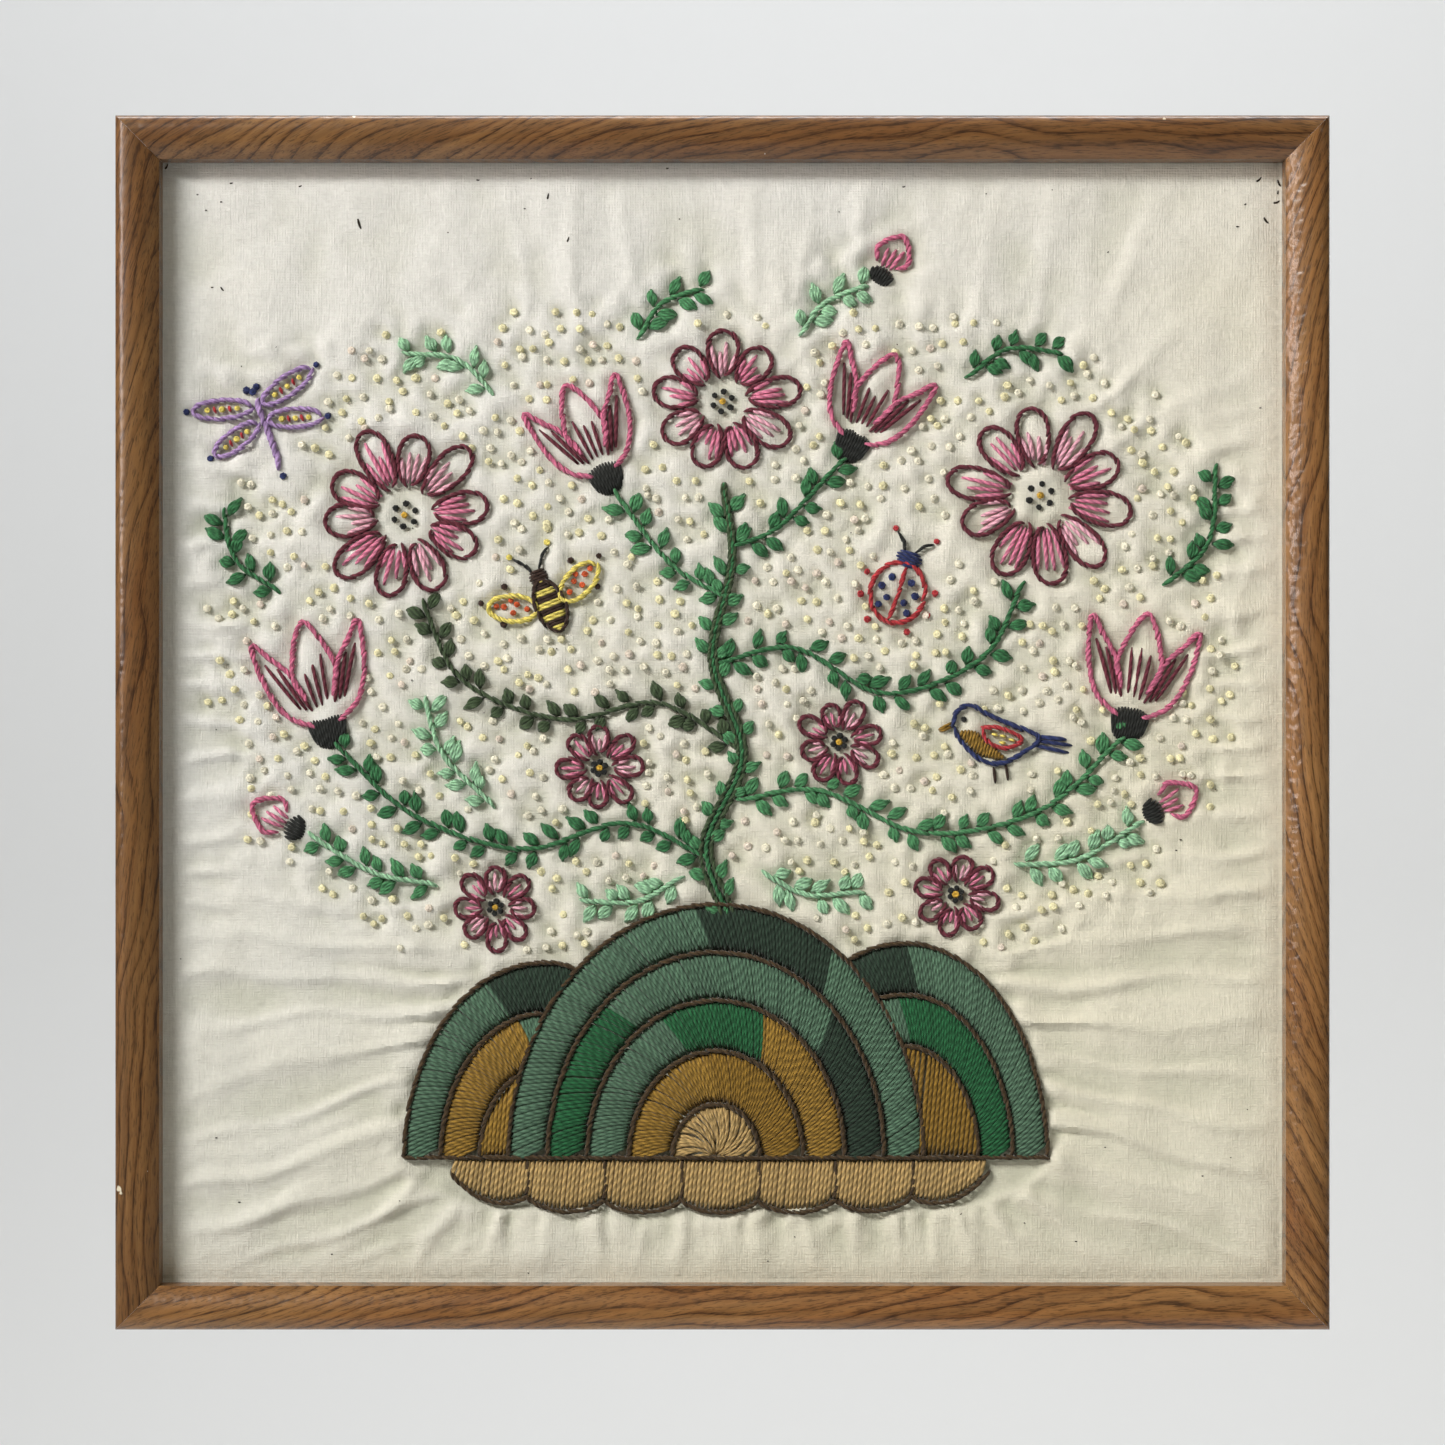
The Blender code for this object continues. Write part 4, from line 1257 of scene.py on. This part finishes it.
def glue_and_shade_lines():
    """The rail's section, drawn in a little, as a thin film across each corner's diagonal plane."""
    section = moulding_section()
    way = np.roll(section, -1, axis=0) - np.roll(section, 1, axis=0)
    way /= np.linalg.norm(way, axis=1, keepdims=True)
    inset = section + GLUE_INSET * np.column_stack((way[:, 1], -way[:, 0]))
    half_outer = SIGHT_HALF + RAIL_FACE
    points, faces = [], []
    for corner, (right, up) in enumerate(((-1, 1), (1, 1), (1, -1), (-1, -1))):
        reach = half_outer - inset[:, 0]
        for layer in (-1, 1):
            shift = layer * GLUE_THICK / 2 / math.sqrt(2)
            points.append(np.column_stack(((right * reach + shift * right) * MM, -inset[:, 1] * MM,
                                           (up * reach - shift * up) * MM + CENTRE_Z)))
        first = 2 * corner * len(inset) + np.arange(len(inset))
        second = first + len(inset)
        sides = np.stack((first, np.roll(first, -1), np.roll(second, -1), second), axis=-1)
        caps = [first[::-1].tolist(), second.tolist()]
        loop = sides.tolist() + caps
        faces += loop if right * up > 0 else [face[::-1] for face in loop]
    mesh = bpy.data.meshes.new("mitre_glue_and_shade")
    mesh.from_pydata(np.concatenate(points), [], faces)
    # The film's dark brown is dried glue and painted shade: it also stands for the shadow down in the joint.
    material, shader, _ = new_material("glue_and_joint_shade")
    wire(shader, {"Base Color": linear("#2C1B0F"), "Roughness": 0.7})
    mesh.materials.append(material)
    return mesh


glue = placed("mitre_glue_and_shade", glue_and_shade_lines())
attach(glue, "root")


# Stage: a plain pale floor that curves up far behind, lit by a soft window high at the left, a small one low
# at the left that shines along the right rail, a weak fill at the right and a wash up the wall. The camera
# stands straight in front.

FLOOR_DROP = 0.75
FLOOR_FRONT = -3.5
FLOOR_HALF = 4.0
BACK_WALL = 2.2
WALL_TALL = 4.5
COVE = 0.6


def pale_stage():
    """Floor and back wall as one sheet: the floor runs back, turns up a quarter circle and rises."""
    turn = np.linspace(0, math.pi / 2, 24)
    floor_z = CENTRE_Z - FLOOR_DROP
    y = np.concatenate(([FLOOR_FRONT], BACK_WALL - COVE + COVE * np.sin(turn), [BACK_WALL]))
    z = np.concatenate(([floor_z], floor_z + COVE - COVE * np.cos(turn), [floor_z + WALL_TALL]))
    x = np.repeat((-FLOOR_HALF, FLOOR_HALF), len(y))
    y, z = np.tile((y, z), 2)
    index = np.arange(len(x)).reshape(2, -1)
    faces = np.stack((index[0, :-1], index[1, :-1], index[1, 1:], index[0, 1:]), axis=-1)
    mesh = bpy.data.meshes.new("pale_floor")
    mesh.from_pydata(np.column_stack((x, y, z)), [], faces)
    mesh.shade_smooth()
    material, shader, _ = new_material("pale_paper")
    wire(shader, {"Base Color": linear("#E6E7E8"), "Roughness": 1.0})
    mesh.materials.append(material)
    return mesh


floor = placed("pale_floor", pale_stage())


def area_light(name, place, aim, size, power, colour, spread=180):
    """A rectangular soft light at place that faces aim, its beam spread degrees wide."""
    light = bpy.data.lights.new(name, "AREA")
    light.shape = "RECTANGLE"
    light.size, light.size_y = size
    light.energy = power
    light.color = linear(colour)[:3]
    light.spread = math.radians(spread)
    lamp = placed(name, light)
    lamp.location = place
    away = np.array(place) - np.array(aim)
    lamp.rotation_mode = "QUATERNION"
    lamp.rotation_quaternion = Vector(away).to_track_quat("Z", "Y")
    lamp.visible_camera = False


middle = (0.0, 0.0, CENTRE_Z)
area_light("window_above", (-1.76, -2.0, CENTRE_Z + 1.60), (0.4, 0.0, CENTRE_Z - 0.40), (1.5, 0.4), 13.9,
           "#FFFDF8", 70)
area_light("window_left", (-1.05, -0.75, CENTRE_Z + 0.29), (0.14, 0.0, CENTRE_Z + 0.15), (0.62, 0.40), 0.35,
           "#FFEFE8", 32)
area_light("fill_right", (1.9, -1.6, CENTRE_Z + 1.7), middle, (1.0, 1.0), 1.25, "#F6F4EA", 60)
area_light("wall_wash", (0.0, 0.35, CENTRE_Z + 1.9), (0.0, BACK_WALL, CENTRE_Z - 0.5), (2.4, 0.6), 54,
           "#FAFCFF")

world = bpy.data.worlds.new("studio")
world.use_nodes = True
wire(world.node_tree.nodes["Background"], {"Color": linear("#F0E2B8"), "Strength": 0.118})
bpy.context.scene.world = world

# The outer side measures 1214 of the photograph's 1445 pixels, seen by a moderately long lens
PHOTO_SIDE = 1445
FRAME_PIXELS = 1214
LENS = 85.0
SENSOR = 36.0
outer_side = cad_box[1][0] - cad_box[0][0]
field = outer_side * PHOTO_SIDE / FRAME_PIXELS
distance = field * LENS / SENSOR
camera_data = bpy.data.cameras.new("camera")
camera_data.lens = LENS
camera_data.sensor_width = SENSOR
camera = placed("camera", camera_data)
camera.location = (0.0, -distance - (RAIL_DEPTH - SHOULDER_DROP) * MM, CENTRE_Z)
camera.rotation_euler = (math.pi / 2, 0.0, 0.0)
bpy.context.scene.camera = camera
bpy.context.scene.view_settings.view_transform = "Standard"
